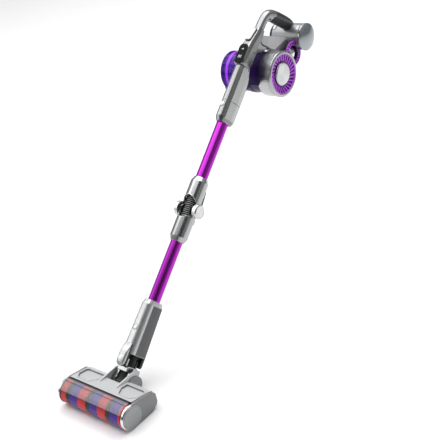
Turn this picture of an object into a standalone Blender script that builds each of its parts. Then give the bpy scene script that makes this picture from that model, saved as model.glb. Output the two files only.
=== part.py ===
"""Cordless stick vacuum: hand unit, folding two-tube wand, swivelling neck and roller floor head.

World frame: +X is the machine's right side, +Y its back, +Z up. The origin is on the sole of
the floor head. The wand leans back, so most parts are placed in the wand frame instead: x right,
t back and square to the wand, s up along the wand, with its origin on the wand's fold pivot.
"""

import math

import bmesh
import bpy
from mathutils import Matrix, Vector

MM = 0.001
GAP = 0.3

# Wand (millimetres and degrees)
LEAN = 49.0
PIVOT = (0.0, 410.0, 358.0)
TUBE_R = 17.0
TUBE_BORE = 15.8
COLLAR_R = 25.5
COLLAR_END = 95.0
COLLAR_SHOULDER = 82.0
CHEEK_IN = 20.8
KNOB_R = 21.0
NOZZLE_END = 264.0
NOZZLE_SPLIT = 326.0
SPINE_TOP = 566.0
MODE_TILT = -14.0
SOCKET_TOP = -268.0
SOCKET_END = -420.0
TUBE_IN_SOCKET = 54.0

# Neck
ROLL_S = -437.0
PITCH_T = 10.0
PITCH_S = -494.0
DRUM_R = 24.0

# Hand unit
DRUM_T = 97.0
DRUM_S = 478.0
CUP_R = 58.0
MOTOR_R = 66.0
EXHAUST = (145.0, 571.0)
EXHAUST_R = 35.0
BATTERY = (151.0, 632.0)
BATTERY_R = 39.0
PACK_R = 22.5

# Floor head
ROLLER_Y = -53.0
ROLLER_Z = 31.0
ROLLER_R = 33.5
COVER_R = 36.0
HEAD_HALF = 115.0
HEAD_END = 124.0
FLOOR_Z = -2.5
WHEEL_R = 9.0
WHEEL_Y = 24.0

COLORS = {
    "silver": ((0.62, 0.63, 0.64), 0.28, 0.85, 1.0),
    "gunmetal": ((0.30, 0.31, 0.33), 0.35, 0.80, 1.0),
    "brushed": ((0.70, 0.70, 0.71), 0.30, 1.00, 1.0),
    "chrome": ((0.80, 0.81, 0.82), 0.08, 1.00, 1.0),
    "anodised": ((0.45, 0.03, 0.55), 0.25, 0.90, 1.0),
    "white": ((0.90, 0.90, 0.90), 0.30, 0.00, 1.0),
    "black": ((0.02, 0.02, 0.02), 0.45, 0.00, 1.0),
    "gloss_black": ((0.01, 0.01, 0.01), 0.05, 0.00, 1.0),
    "rubber": ((0.03, 0.03, 0.03), 0.80, 0.00, 1.0),
    "violet_clear": ((0.20, 0.02, 0.50), 0.08, 0.00, 0.45),
    "violet": ((0.25, 0.04, 0.45), 0.30, 0.00, 1.0),
    "smoke_clear": ((0.35, 0.36, 0.38), 0.10, 0.00, 0.40),
    "red_plush": ((0.60, 0.04, 0.05), 0.90, 0.00, 1.0),
    "filter_paper": ((0.85, 0.84, 0.80), 0.90, 0.00, 1.0),
    "board_green": ((0.03, 0.20, 0.08), 0.50, 0.00, 1.0),
    "steel": ((0.55, 0.56, 0.58), 0.30, 1.00, 1.0),
}


# Scene set-up


def clear_scene():
    for obj in list(bpy.data.objects):
        bpy.data.objects.remove(obj, do_unlink=True)


def new_collection(name):
    collection = bpy.data.collections.new(name)
    bpy.context.scene.collection.children.link(collection)
    return collection


def material(name):
    found = bpy.data.materials.get(name)
    if found:
        return found
    color, roughness, metallic, alpha = COLORS[name]
    made = bpy.data.materials.new(name)
    made.use_nodes = True
    shader = made.node_tree.nodes["Principled BSDF"]
    shader.inputs["Base Color"].default_value = (*color, 1.0)
    shader.inputs["Roughness"].default_value = roughness
    shader.inputs["Metallic"].default_value = metallic
    shader.inputs["Alpha"].default_value = alpha
    made.diffuse_color = (*color, alpha)
    return made


clear_scene()
PARTS = new_collection("stick_vacuum")
CUTTERS = new_collection("cutters")


def new_frame(name, place, tilt=0.0, parent=None):
    """An empty that parts are placed in; place is in mm and tilt turns it about X."""
    frame = bpy.data.objects.new(name, None)
    PARTS.objects.link(frame)
    frame.location = Vector(place) * MM
    frame.rotation_euler = (math.radians(tilt), 0.0, 0.0)
    frame.parent = parent
    return frame


FLOOR = new_frame("floor_frame", (0.0, 0.0, 0.0))
WAND = new_frame("wand_frame", PIVOT, -LEAN)


# Shape helpers. Every place and size is in mm in the frame given, and a shape's own
# coordinates are counted from its origin, which on a moving part lies on its joint's axis.

TOWARDS = {
    "x": Matrix.Rotation(math.radians(90.0), 4, "Y"),
    "y": Matrix.Rotation(math.radians(-90.0), 4, "X"),
    "z": Matrix.Identity(4),
}


def finish(obj, frame, place, finish_name, smooth=35.0):
    """Parent a new object to its frame, or file it as a cutter when it has no finish."""
    obj.parent = frame
    obj.location = Vector(place) * MM
    if finish_name:
        PARTS.objects.link(obj)
        obj.data.materials.append(material(finish_name))
    else:
        CUTTERS.objects.link(obj)
        obj.hide_render = True
        obj.display_type = "WIRE"
    if obj.type == "MESH":
        obj.data.shade_smooth()
        obj.data.set_sharp_from_angle(angle=math.radians(smooth))
    return obj


def mesh_object(name, bm):
    bm.normal_update()
    bmesh.ops.recalc_face_normals(bm, faces=bm.faces)
    mesh = bpy.data.meshes.new(name)
    bm.to_mesh(mesh)
    bm.free()
    return bpy.data.objects.new(name, mesh)


def cylinder(name, frame, place, axis, radius, length, finish_name=None, top=None, steps=24, at=(0, 0, 0)):
    """A cylinder or a cone centred at `at` from the origin, with its length along x, y or z."""
    bm = bmesh.new()
    bmesh.ops.create_cone(
        bm,
        cap_ends=True,
        segments=steps,
        radius1=radius * MM,
        radius2=(radius if top is None else top) * MM,
        depth=length * MM,
        matrix=Matrix.Translation(Vector(at) * MM) @ TOWARDS[axis],
    )
    return finish(mesh_object(name, bm), frame, place, finish_name)


def box(name, frame, place, low, high, finish_name=None, round_by=0.0, turn=0.0):
    """A box from low to high, counted from the origin, optionally bevelled and turned about X."""
    bm = bmesh.new()
    bmesh.ops.create_cube(bm, size=1.0)
    low, high = Vector(low) * MM, Vector(high) * MM
    bmesh.ops.scale(bm, vec=high - low, verts=bm.verts)
    bmesh.ops.translate(bm, vec=(high + low) / 2, verts=bm.verts)
    bmesh.ops.rotate(bm, matrix=Matrix.Rotation(math.radians(turn), 3, "X"), verts=bm.verts)
    obj = finish(mesh_object(name, bm), frame, place, finish_name)
    if round_by:
        bevel(obj, round_by)
    return obj


def plate(name, frame, place, axis, outline, low, high, finish_name=None, round_by=0.0, steps=2, turn=0.0):
    """An outline filled and extruded from low to high along x, y or z, then turned about X.

    The outline is (t, s) for x, (x, s) for y and (x, t) for z, counted from the origin.
    """
    curve = bpy.data.curves.new(name, "CURVE")
    curve.dimensions = "2D"
    curve.fill_mode = "BOTH"
    curve.extrude = (high - low) / 2 * MM
    spline = curve.splines.new("POLY")
    spline.points.add(len(outline) - 1)
    spline.use_cyclic_u = True
    for point, (u, v) in zip(spline.points, outline):
        point.co = (u * MM, v * MM, 0.0, 1.0)
    flat = bpy.data.objects.new(name, curve)
    bpy.context.scene.collection.objects.link(flat)
    bpy.context.view_layer.update()
    bm = bmesh.new()
    graph = bpy.context.evaluated_depsgraph_get()
    mesh = bpy.data.meshes.new_from_object(flat.evaluated_get(graph))
    bm.from_mesh(mesh)
    bpy.data.objects.remove(flat, do_unlink=True)
    bmesh.ops.remove_doubles(bm, verts=bm.verts, dist=1e-6)
    middle = (low + high) / 2 * MM
    for vert in bm.verts:
        u, v, w = vert.co
        w += middle
        vert.co = {"x": (w, u, v), "y": (u, w, v), "z": (u, v, w)}[axis]
    bmesh.ops.rotate(bm, matrix=Matrix.Rotation(math.radians(turn), 3, "X"), verts=bm.verts)
    obj = finish(mesh_object(name, bm), frame, place, finish_name)
    if round_by:
        bevel(obj, round_by, steps)
    return obj


def turned(name, frame, place, axis, profile, finish_name=None, steps=24, flip=False):
    """A closed (radius, height) profile turned about x, y or z; it runs down its outer side."""
    bm = bmesh.new()
    verts = [bm.verts.new((r * MM, 0.0, h * MM)) for r, h in profile]
    for a, b in zip(verts, verts[1:]):
        bm.edges.new((a, b))
    if profile[0][0] > 0.0 and profile[-1][0] > 0.0:
        bm.edges.new((verts[-1], verts[0]))
    mesh = bpy.data.meshes.new(name)
    bm.to_mesh(mesh)
    bm.free()
    obj = bpy.data.objects.new(name, mesh)
    finish(obj, frame, place, finish_name)
    turn = TOWARDS[axis].to_euler()
    if flip:
        turn = (TOWARDS[axis] @ Matrix.Rotation(math.pi, 4, "X")).to_euler()
    obj.rotation_euler = turn
    screw = obj.modifiers.new("turn", "SCREW")
    screw.steps = steps
    screw.render_steps = steps
    screw.use_merge_vertices = True
    screw.merge_threshold = 0.00005
    screw.use_smooth_shade = True
    return obj


def bevel(obj, width, steps=2, angle=35.0):
    modifier = obj.modifiers.new("rounded", "BEVEL")
    modifier.width = width * MM
    modifier.segments = steps
    modifier.limit_method = "ANGLE"
    modifier.angle_limit = math.radians(angle)
    return obj


def boolean(obj, other, operation):
    modifier = obj.modifiers.new(operation.lower(), "BOOLEAN")
    modifier.operation = operation
    modifier.object = other
    return obj


def cut(obj, *others):
    for other in others:
        boolean(obj, other, "DIFFERENCE")
    return obj


def join(obj, *others):
    for other in others:
        boolean(obj, other, "UNION")
    return obj


def mirrored(half):
    """A closed outline from its right half, listed from the front middle to the back middle."""
    left = [(-x, t) for x, t in reversed(half) if x > 1e-6]
    return half + left


def arc(centre, radius, start, end, count):
    """Points on an arc, with angles in degrees from the first axis towards the second."""
    points = []
    for i in range(count + 1):
        angle = math.radians(start + (end - start) * i / count)
        points.append((centre[0] + radius * math.cos(angle), centre[1] + radius * math.sin(angle)))
    return points


def rounded_outline(half_width, half_height, radius, count=4):
    """A rectangle with round corners, centred on its origin."""
    points = []
    for i, (h, v) in enumerate(((1, 1), (-1, 1), (-1, -1), (1, -1))):
        centre = (h * (half_width - radius), v * (half_height - radius))
        points += arc(centre, radius, 90.0 * i, 90.0 * (i + 1), count)
    return points


def taper_end(obj, depth, factor):
    """Draw the face at the lowest (depth < 0) or highest s out by depth and shrink it."""
    bm = bmesh.new()
    bm.from_mesh(obj.data)
    pick = min if depth < 0 else max
    edge = pick(v.co.z for v in bm.verts)
    faces = [f for f in bm.faces if all(abs(v.co.z - edge) < 1e-6 for v in f.verts)]
    grown = bmesh.ops.extrude_face_region(bm, geom=faces)
    verts = [g for g in grown["geom"] if isinstance(g, bmesh.types.BMVert)]
    bmesh.ops.delete(bm, geom=faces, context="FACES_ONLY")
    for vert in verts:
        vert.co.x *= factor
        vert.co.y *= factor
        vert.co.z += depth * MM
    bm.normal_update()
    bmesh.ops.recalc_face_normals(bm, faces=bm.faces)
    bm.to_mesh(obj.data)
    bm.free()
    return obj


def flare_foot(obj, widen, deepen):
    """Spread the face at the lowest s sideways, and backwards behind the axis."""
    foot = min(v.co.z for v in obj.data.vertices)
    for vert in obj.data.vertices:
        if vert.co.z > foot + 1e-6:
            continue
        vert.co.x *= widen
        if vert.co.y > 0.0:
            vert.co.y *= deepen


def swept(name, frame, path, widen, finish_name=None, sides=3):
    """A tube along (t, s, radius) points in the x = 0 plane, widened along x."""
    curve = bpy.data.curves.new(name, "CURVE")
    curve.dimensions = "3D"
    curve.bevel_depth = MM
    curve.bevel_resolution = sides
    curve.use_fill_caps = True
    spline = curve.splines.new("POLY")
    spline.points.add(len(path) - 1)
    for point, (t, s, radius) in zip(spline.points, path):
        point.co = (0.0, t * MM, s * MM, 1.0)
        point.radius = radius
    round_tube = bpy.data.objects.new(name, curve)
    bpy.context.scene.collection.objects.link(round_tube)
    bpy.context.view_layer.update()
    graph = bpy.context.evaluated_depsgraph_get()
    mesh = bpy.data.meshes.new_from_object(round_tube.evaluated_get(graph))
    bm = bmesh.new()
    bm.from_mesh(mesh)
    bpy.data.objects.remove(round_tube, do_unlink=True)
    bmesh.ops.remove_doubles(bm, verts=bm.verts, dist=1e-6)
    bmesh.ops.scale(bm, vec=(widen, 1.0, 1.0), verts=bm.verts)
    return finish(mesh_object(name, bm), frame, (0, 0, 0), finish_name)


def smooth_path(knots, per_span=3):
    """Catmull-Rom points through the knots, with every coordinate blended alike."""
    points = []
    padded = [knots[0], *knots, knots[-1]]
    for a, b, c, d in zip(padded, padded[1:], padded[2:], padded[3:]):
        for i in range(per_span):
            u = i / per_span
            points.append(
                tuple(
                    0.5 * (2 * q + (r - p) * u + (2 * p - 5 * q + 4 * r - s) * u * u + (3 * q - p - 3 * r + s) * u**3)
                    for p, q, r, s in zip(a, b, c, d)
                )
            )
    points.append(knots[-1])
    return points


def bellows_profile(length, ribs, outer, inner, bore):
    """A closed ribbed sleeve profile, centred on height 0."""
    top = length / 2
    pitch = length / ribs
    outside = []
    for i in range(ribs):
        outside += [(inner, top - i * pitch), (outer, top - (i + 0.5) * pitch)]
    return [*outside, (inner, -top), (bore, -top), (bore, top)]


# Wand


SECTION = mirrored(
    [(0.0, -31.0), (8.0, -29.5), (14.0, -23.0), (18.0, -11.0), (22.0, 6.0), (22.0, 18.0), (16.0, 24.0), (0.0, 25.0)]
)


def make_tubes():
    for name, low, high in (
        ("upper_tube", 68.0, NOZZLE_END + TUBE_IN_SOCKET),
        ("lower_tube", SOCKET_TOP - TUBE_IN_SOCKET, -68.0),
    ):
        profile = [(TUBE_R, high), (TUBE_R, low), (TUBE_BORE, low), (TUBE_BORE, high)]
        turned(name, WAND, (0, 0, 0), "z", profile, "anodised", steps=28)


def collar_body(name, side):
    """side is 1 above the fold pivot and -1 below it."""
    bore = TUBE_R + GAP
    seat = 67.0
    edge = 22.0
    profile = [
        (bore, COLLAR_END),
        (19.0, COLLAR_END),
        (COLLAR_R, COLLAR_SHOULDER),
        (COLLAR_R, edge),
        (19.0, edge),
        (19.0, seat),
        (bore, seat),
    ]
    return turned(name, WAND, (0, 0, 0), "z", profile, "silver", steps=28, flip=side < 0)


def collar_cheeks(name, side, inner, outer, radius):
    """Two rounded ears on the pivot axis, each cut to the collar's round outside."""
    top = side * 30.0
    start = 180.0 if side > 0 else 0.0
    outline = [(radius, top), (-radius, top), *arc((0.0, 0.0), radius, start, start + 180.0, 10)]
    outline = [p for i, p in enumerate(outline) if i == 0 or p != outline[i - 1]]
    cheeks = []
    for hand in (1, -1):
        low, high = sorted((hand * inner, hand * outer))
        ear = plate(f"{name}_ear_{'left' if hand < 0 else 'right'}", WAND, (0, 0, 0), "x", outline, low, high)
        boolean(ear, cylinder(f"{ear.name}_round", WAND, (0, 0, 0), "z", COLLAR_R - 0.05, 80.0, steps=28), "INTERSECT")
        cheeks.append(ear)
    return cheeks


def make_collars():
    upper = collar_body("upper_collar", 1)
    join(upper, *collar_cheeks("upper_collar", 1, CHEEK_IN, 27.0, 14.0))
    arch = cylinder("upper_arch", WAND, (0, -30, 15), "y", 24.0, 56.0)
    cut(upper, arch, cylinder("upper_pin_hole", WAND, (0, 0, 0), "x", 5.3, 60.0, steps=20))
    lower = collar_body("lower_collar", -1)
    join(lower, *collar_cheeks("lower_collar", -1, 16.0, CHEEK_IN - GAP, 15.0))
    arch = cylinder("lower_arch", WAND, (0, -30, -6), "y", 22.0, 56.0)
    cut(lower, arch, cylinder("lower_pin_hole", WAND, (0, 0, 0), "x", 5.3, 60.0, steps=20))
    for hand, name in ((1, "knob_right"), (-1, "knob_left")):
        profile = [(0.0, 41.0), (16.5, 41.0), (19.5, 39.5), (KNOB_R, 36.5), (KNOB_R, 27.3)]
        profile += [(5.0, 27.3), (5.0, 16.3), (0.0, 16.3)]
        turned(name, WAND, (0, 0, 0), "x", profile, "brushed", steps=24, flip=hand < 0)
    hose = bellows_profile(112.0, 6, 15.2, 12.4, 11.2)
    turned("wand_hose", WAND, (0, 0, 0), "z", hose, "rubber", steps=16)


def make_fold_catch():
    lever = [(-3.0, 3.0), (1.5, 4.0), (5.0, 0.0), (10.0, -40.0), (6.0, -42.0), (0.0, -3.0)]
    plate("fold_lever", WAND, (0, 29, 66), "x", lever, -8.0, 8.0, "gunmetal", round_by=1.0)
    ridges = [(-6.0, -8.0), (6.0, -7.0), (9.5, -3.0), (7.0, -1.0), (9.5, 1.0), (7.0, 3.0), (9.5, 6.0)]
    button = plate("fold_button", WAND, (0, 25.5, -26), "x", [*ridges, (6.0, 9.0), (-6.0, 9.0)], -7.0, 7.0, "black")
    window = box("fold_button_window", WAND, (0, 25.5, -26), (-7.4, -8.5, -8.4), (7.4, 3.0, 9.4))
    cut(bpy.data.objects["lower_collar"], window)
    bevel(button, 0.5, 1)


# Hand unit


def release_button(name, s, frame=WAND):
    """A round button in the front of a socket, with its stem through the wall."""
    hole = cylinder(f"{name}_hole", frame, (0, -24, s), "y", 7.7, 24.0, steps=20)
    profile = [(0.0, 9.8), (5.6, 9.8), (7.3, 8.6), (7.3, -2.0), (0.0, -2.0)]
    turned(name, frame, (0, -24, s), "y", profile, "white", steps=20, flip=True)
    return hole


def make_nozzle():
    bore = TUBE_R + GAP
    socket = plate("nozzle_socket", WAND, (0, 0, 0), "z", SECTION, NOZZLE_END + 13.0, NOZZLE_SPLIT, "silver")
    taper_end(socket, -13.0, 0.80)
    length = 80.0
    tube_bore = cylinder("nozzle_bore", WAND, (0, 0, NOZZLE_END + 30.0), "z", bore, length, steps=28)
    cut(socket, tube_bore, release_button("nozzle_release_button", 312.0))

    shell = plate("spine_shell", WAND, (0, 0, 0), "z", SECTION, NOZZLE_SPLIT + GAP, 442.0, "silver")
    taper_end(shell, 14.0, 0.72)
    back = [(18.0, 440.0), (8.0, 460.0), (8.0, 483.0), (16.0, 494.6), (39.0, 512.4), (46.0, 524.0)]
    back += [(46.0, 533.0), (30.0, 530.0), (18.0, 531.0), (14.0, 538.0), (13.0, SPINE_TOP)]
    front = [(-13.0, SPINE_TOP), (-29.0, 504.0), (-33.5, 494.0), (-33.5, 446.0), (-30.5, 434.0)]
    outline = [(18.0, 432.0), *back, *front]
    upper = plate("spine_upper", WAND, (0, 0, 0), "x", outline, -16.0, 16.0, round_by=3.5)
    bulge = [(-6.0, 438.0), (-6.0, 506.0), (-29.5, 503.0), (-34.0, 492.0), (-34.0, 449.0), (-29.0, 438.0)]
    wide = plate("spine_bulge", WAND, (0, 0, 0), "x", bulge, -19.5, 19.5, round_by=5.0)
    join(shell, upper, wide)
    air = cylinder("spine_air", WAND, (0, 0, 380), "z", bore - 1.3, 120.0, steps=20)
    inlet = cylinder("spine_inlet", WAND, (0, 14, 428), "y", 11.0, 40.0, steps=20)
    screen = (0, -34, 470)
    panel = plate("display_pocket", WAND, screen, "y", rounded_outline(12.4, 27.0, 10.4), -3.0, 4.0)
    switch = (0, -22.5, 535)
    slot = plate("mode_slot", WAND, switch, "y", rounded_outline(8.4, 21.4, 4.4), -8.0, 9.0, turn=MODE_TILT)
    cut(shell, air, inlet, panel, slot)

    plate("display_panel", WAND, screen, "y", rounded_outline(12.0, 26.6, 10.0), -0.7, 3.6, "gloss_black")
    button = rounded_outline(7.9, 20.9, 4.0)
    plate("mode_button", WAND, switch, "y", button, -4.6, 5.0, "white", turn=MODE_TILT)


GRIP_PATH = [
    (1.0, SPINE_TOP + GAP, 12.6),
    (1.0, 590.0, 12.4),
    (5.0, 607.0, 13.2),
    (14.0, 620.0, 15.5),
    (30.0, 627.0, 18.0),
    (60.0, 636.5, 18.8),
    (90.0, 644.0, 18.6),
    (113.0, 650.0, 17.4),
    (130.0, 653.0, 14.0),
]


def make_handle():
    path = smooth_path(GRIP_PATH, 2)
    handle = swept("handle_shell", WAND, path, 0.92, "silver", sides=3)
    battery = cylinder("handle_battery_cut", WAND, (0, *BATTERY), "x", BATTERY_R + GAP, 60.0, steps=32)
    place = (0.0, 66.0, 622.0)
    under = box("grip_pad_pocket", WAND, place, (-30.0, -34.0, -30.0), (30.0, 40.0, 6.0), turn=14.0)
    cut(handle, battery, under)
    pad = swept("grip_pad", WAND, [(t, s, r - 0.2) for t, s, r in path], 0.92, "rubber", sides=3)
    block = box("grip_pad_block", WAND, place, (-29.0, -33.7, -29.0), (29.0, 39.7, 5.7), turn=14.0)
    boolean(pad, block, "INTERSECT")
    cut(pad, cylinder("pad_battery_cut", WAND, (0, *BATTERY), "x", BATTERY_R + GAP, 60.0, steps=32))


def make_cyclone():
    centre = (0, DRUM_T, DRUM_S)
    body = cylinder("cyclone_housing", WAND, centre, "x", CUP_R, 38.0, "violet", at=(-2.0, 0, 0), steps=32)
    throat = [(8.4, 424.0), (8.4, 480.0), (17.0, 492.4), (40.0, 510.0), (47.5, 522.0), (67.0, 522.0), (67.0, 420.0)]
    neck = plate("cyclone_neck", WAND, (0, 0, 0), "x", throat, -17.0, 17.0, round_by=2.0, steps=1)
    inlet = cylinder("cyclone_inlet", WAND, (0, 34, 428), "y", 11.0, 60.0, steps=20)
    cavity = cylinder("cyclone_cavity", WAND, centre, "x", CUP_R - 4.0, 30.0, at=(-9.0, 0, 0), steps=28)
    motor_hole = cylinder("cyclone_motor_hole", WAND, centre, "x", 30.0, 60.0, steps=24)
    spine = box("cyclone_spine_cut", WAND, (0, 0, 478), (-20.0, -40.0, -80.0), (20.0, 8.3, 80.0))
    join(body, neck)
    cut(body, cavity, motor_hole, inlet, spine)
    for cutter in (
        cylinder("nozzle_clear", WAND, (0, 0, 400), "z", 26.0, 70.0, steps=20),
        box("nozzle_back_clear", WAND, (0, 0, 410), (-24.0, 0.0, -30.0), (24.0, 25.4, 52.0)),
    ):
        cut(body, cutter)
    shroud = [(34.0, 0.0), (34.0, -66.0), (31.0, -69.0), (9.0, -84.0), (7.0, -84.0)]
    shroud += [(29.0, -66.0), (31.0, -63.0), (31.0, 0.0)]
    turned("mesh_shroud", WAND, (-22.0, DRUM_T, DRUM_S), "x", shroud, "steel", steps=20)
    collar = [(CUP_R + 1.4, -21.6), (CUP_R + 1.4, -37.0), (CUP_R - 5.0, -37.0), (CUP_R - 5.0, -21.6)]
    turned("cup_collar", WAND, centre, "x", collar, "black", steps=32)


def make_dust_cup():
    centre = (0, DRUM_T, DRUM_S)
    cup = [(CUP_R, -37.3), (CUP_R, -114.0), (CUP_R - 2.4, -114.0), (CUP_R - 2.4, -37.3)]
    turned("dust_cup", WAND, centre, "x", cup, "violet_clear", steps=32)
    hinge = (-119.0, DRUM_T, DRUM_S + CUP_R + 4.0)
    drop = -(CUP_R + 4.0)
    lid = cylinder("cup_lid", WAND, hinge, "x", CUP_R + 1.4, 9.4, "violet_clear", at=(0, 0, drop), steps=32)
    inside = cylinder("cup_lid_recess", WAND, hinge, "x", CUP_R - 3.0, 8.0, at=(6.0, 0, drop), steps=28)
    boss = cylinder("cup_lid_boss", WAND, hinge, "x", 15.0, 6.0, at=(-4.6, 0, drop), steps=20)
    knuckle = cylinder("cup_lid_knuckle", WAND, hinge, "y", 4.0, 22.0, steps=16)
    join(lid, boss, knuckle)
    cut(lid, inside)
    latch = [(-9.0, -4.0), (0.0, -7.5), (38.0, -7.5), (40.0, -3.0), (38.0, 0.0), (4.0, 0.0), (-6.5, 0.5), (-9.0, 0.5)]
    foot = (-112.0, DRUM_T, DRUM_S - CUP_R - 2.2)
    plate("lid_latch", WAND, foot, "y", latch, -9.0, 9.0, "violet", round_by=1.0, steps=1)


def make_motor():
    centre = (0, DRUM_T, DRUM_S)
    shell = [(MOTOR_R, 57.7), (MOTOR_R, 17.5), (31.0, 17.5), (31.0, 20.5), (MOTOR_R - 3.0, 20.5), (MOTOR_R - 3.0, 57.7)]
    turned("motor_housing", WAND, centre, "x", shell, "brushed", steps=32)
    rim = [
        (57.5, 66.5),
        (63.5, 66.5),
        (MOTOR_R + 1.0, 63.0),
        (MOTOR_R + 1.0, 61.2),
        (MOTOR_R - 0.8, 60.6),
        (MOTOR_R - 0.8, 58.0),
        (57.5, 58.0),
    ]
    turned("motor_rim", WAND, centre, "x", rim, "silver", steps=32)
    ring = [(57.2, 64.0), (57.2, 58.2), (33.3, 58.2), (33.3, 61.0), (54.0, 64.0)]
    turned("filter_ring", WAND, centre, "x", ring, "violet", steps=28)
    knob = [(0.0, 66.0), (29.0, 66.0), (33.0, 64.0), (33.0, 57.6), (0.0, 57.6)]
    turned("filter_knob", WAND, centre, "x", knob, "brushed", steps=28)
    hepa = [(56.0, 57.2), (56.0, 26.0), (36.0, 26.0), (36.0, 57.2)]
    turned("hepa_filter", WAND, centre, "x", hepa, "filter_paper", steps=20)
    cylinder("motor", WAND, centre, "x", 28.0, 33.0, "steel", at=(40.0, 0, 0), steps=20)
    wheel = [(0.0, 18.0), (9.0, 17.0), (26.0, 11.0), (26.0, 8.0), (0.0, 8.0)]
    turned("impeller", WAND, centre, "x", wheel, "steel", steps=16)


def make_bridge():
    under = arc((DRUM_T, DRUM_S), MOTOR_R + 2.2, 124.0, 62.0, 8)
    outline = [(16.0, 542.0), (20.5, 532.8), (47.0, 536.0), *under]
    outline += [(150.0, 560.0), (126.0, 598.0), (104.0, 601.0), (14.6, 554.0)]
    bridge = plate("bridge_shell", WAND, (0, 0, 0), "x", outline, -19.0, 19.0, "silver", round_by=2.0)
    pocket = [(50.0, 530.0), (50.0, 555.0), (66.0, 566.0), (96.0, 578.0), (102.0, 574.0), (102.0, 530.0)]
    cut(
        bridge,
        plate("bridge_pocket", WAND, (0, 0, 0), "x", pocket, -15.0, 15.0),
        cylinder("bridge_exhaust_cut", WAND, (0, *EXHAUST), "x", EXHAUST_R + 2 * GAP, 60.0, steps=32),
        cylinder("bridge_battery_cut", WAND, (0, *BATTERY), "x", BATTERY_R + GAP, 60.0, steps=28),
    )
    box("control_board", WAND, (0, 77, 559), (-13.5, -21.0, -0.8), (13.5, 21.0, 0.8), "board_green", turn=22.0)


def make_exhaust():
    half = 31.0
    housing = [(EXHAUST_R, half), (EXHAUST_R, -half), (24.0, -half), (24.0, half)]
    turned("exhaust_housing", WAND, (0, *EXHAUST), "x", housing, "gunmetal", steps=28)
    for hand, side in ((1, "right"), (-1, "left")):
        ring = [(30.0, half + 3.4), (EXHAUST_R - 0.5, half + GAP), (20.0, half + GAP), (21.5, half + 3.4)]
        turned(f"exhaust_ring_{side}", WAND, (0, *EXHAUST), "x", ring, "violet", steps=28, flip=hand < 0)
    cap = [(9.0, half + 4.0), (15.0, half + 2.2), (19.5, half - 1.0)]
    core = [(0.0, half + 4.4), *cap, *[(r, -h) for r, h in reversed(cap)], (0.0, -half - 4.4)]
    turned("exhaust_core", WAND, (0, *EXHAUST), "x", core, "chrome", steps=20)


def make_battery():
    centre = (0, *BATTERY)
    housing = [(BATTERY_R, 54.0), (BATTERY_R, -47.7), (PACK_R + GAP, -47.7), (PACK_R + GAP, 54.0)]
    shell = turned("battery_housing", WAND, centre, "x", housing, "gunmetal", steps=32)
    cut(shell, cylinder("battery_exhaust_cut", WAND, (0, *EXHAUST), "x", EXHAUST_R + GAP, 78.0, steps=28))
    cap = [(0.0, 64.5), (14.0, 63.9), (26.0, 62.0), (34.0, 59.8), (39.6, 57.2), (40.4, 54.3), (0.0, 54.3)]
    turned("battery_cap", WAND, centre, "x", cap, "chrome", steps=32)
    pack = [(0.0, 44.0), (PACK_R - GAP, 44.0), (PACK_R - GAP, -48.0), (38.6, -48.0)]
    pack += [(38.6, -54.0), (36.0, -56.5), (0.0, -56.5)]
    turned("battery_pack", WAND, centre, "x", pack, "black", steps=28)
    for hand, side in ((1, "right"), (-1, "left")):
        place = (hand * 42.0, BATTERY[0] - 34.0, BATTERY[1] + 6.0)
        pocket = box(f"battery_release_{side}_pocket", WAND, place, (-4.6, -12.0, -7.6), (4.6, 5.2, 7.6))
        cut(shell, pocket)
        tab = box(f"battery_release_{side}", WAND, place, (-4.2, -7.2, -7.2), (4.2, 2.2, 7.2), "white")
        bevel(tab, 1.2)


# Neck


def make_neck_socket():
    bore = TUBE_R + GAP
    socket = plate("neck_socket", WAND, (0, 0, 0), "z", SECTION, SOCKET_END, SOCKET_TOP - 13.0, "silver")
    taper_end(socket, 13.0, 0.80)
    flare_foot(socket, 25.0 / 22.0, 29.0 / 25.0)
    arm = [(-26.0, -382.0), (-35.0, -388.0), (-41.0, -404.0), (-42.5, -432.0), (-42.5, -446.0), (-37.0, -457.0)]
    arm += [(-29.0, -457.0), (-23.0, -446.0), (-23.0, -410.0), (-20.0, -382.0)]
    front = plate("fork_arm", WAND, (0, 0, 0), "x", arm, -12.0, 12.0, round_by=3.0, steps=1)
    tab = [(22.0, -400.0), (27.5, -400.0), (35.0, -411.0), (35.0, -444.0), (32.0, -449.0)]
    tab += [(26.0, -449.0), (24.6, -446.0), (24.6, -421.0), (20.0, -416.0)]
    rear = plate("fork_tab", WAND, (0, 0, 0), "x", tab, -15.0, 15.0, round_by=1.5, steps=1)
    join(socket, front, rear)
    cut(
        socket,
        cylinder("neck_tube_bore", WAND, (0, 0, SOCKET_TOP - 20.0), "z", bore, 2 * TUBE_IN_SOCKET, steps=28),
        cylinder("neck_air", WAND, (0, 1, -390), "z", 14.0, 90.0, steps=24),
        release_button("neck_release_button", -349.0),
        cylinder("neck_pin_bore", WAND, (0, 0, ROLL_S), "y", 4.8, 110.0, steps=20),
        cylinder("neck_cap_seat", WAND, (0, -44, ROLL_S), "y", 9.6, 8.0, steps=20),
    )
    front_pin = [(0.0, 44.6), (7.0, 44.2), (9.3, 42.6), (9.3, 40.4), (4.5, 40.4), (4.5, 15.8), (0.0, 15.8)]
    turned("roll_pin_front", WAND, (0, 0, ROLL_S), "y", front_pin, "white", steps=20, flip=True)
    rear_pin = [(0.0, 36.6), (7.0, 36.6), (7.0, 35.3), (4.5, 35.3), (4.5, 18.0), (0.0, 18.0)]
    turned("roll_pin_rear", WAND, (0, 0, ROLL_S), "y", rear_pin, "steel", steps=20)
    hose = bellows_profile(29.4, 3, 14.0, 11.4, 10.2)
    turned("neck_bellows", WAND, (0, 1, -435.3), "z", hose, "rubber", steps=16)


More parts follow.
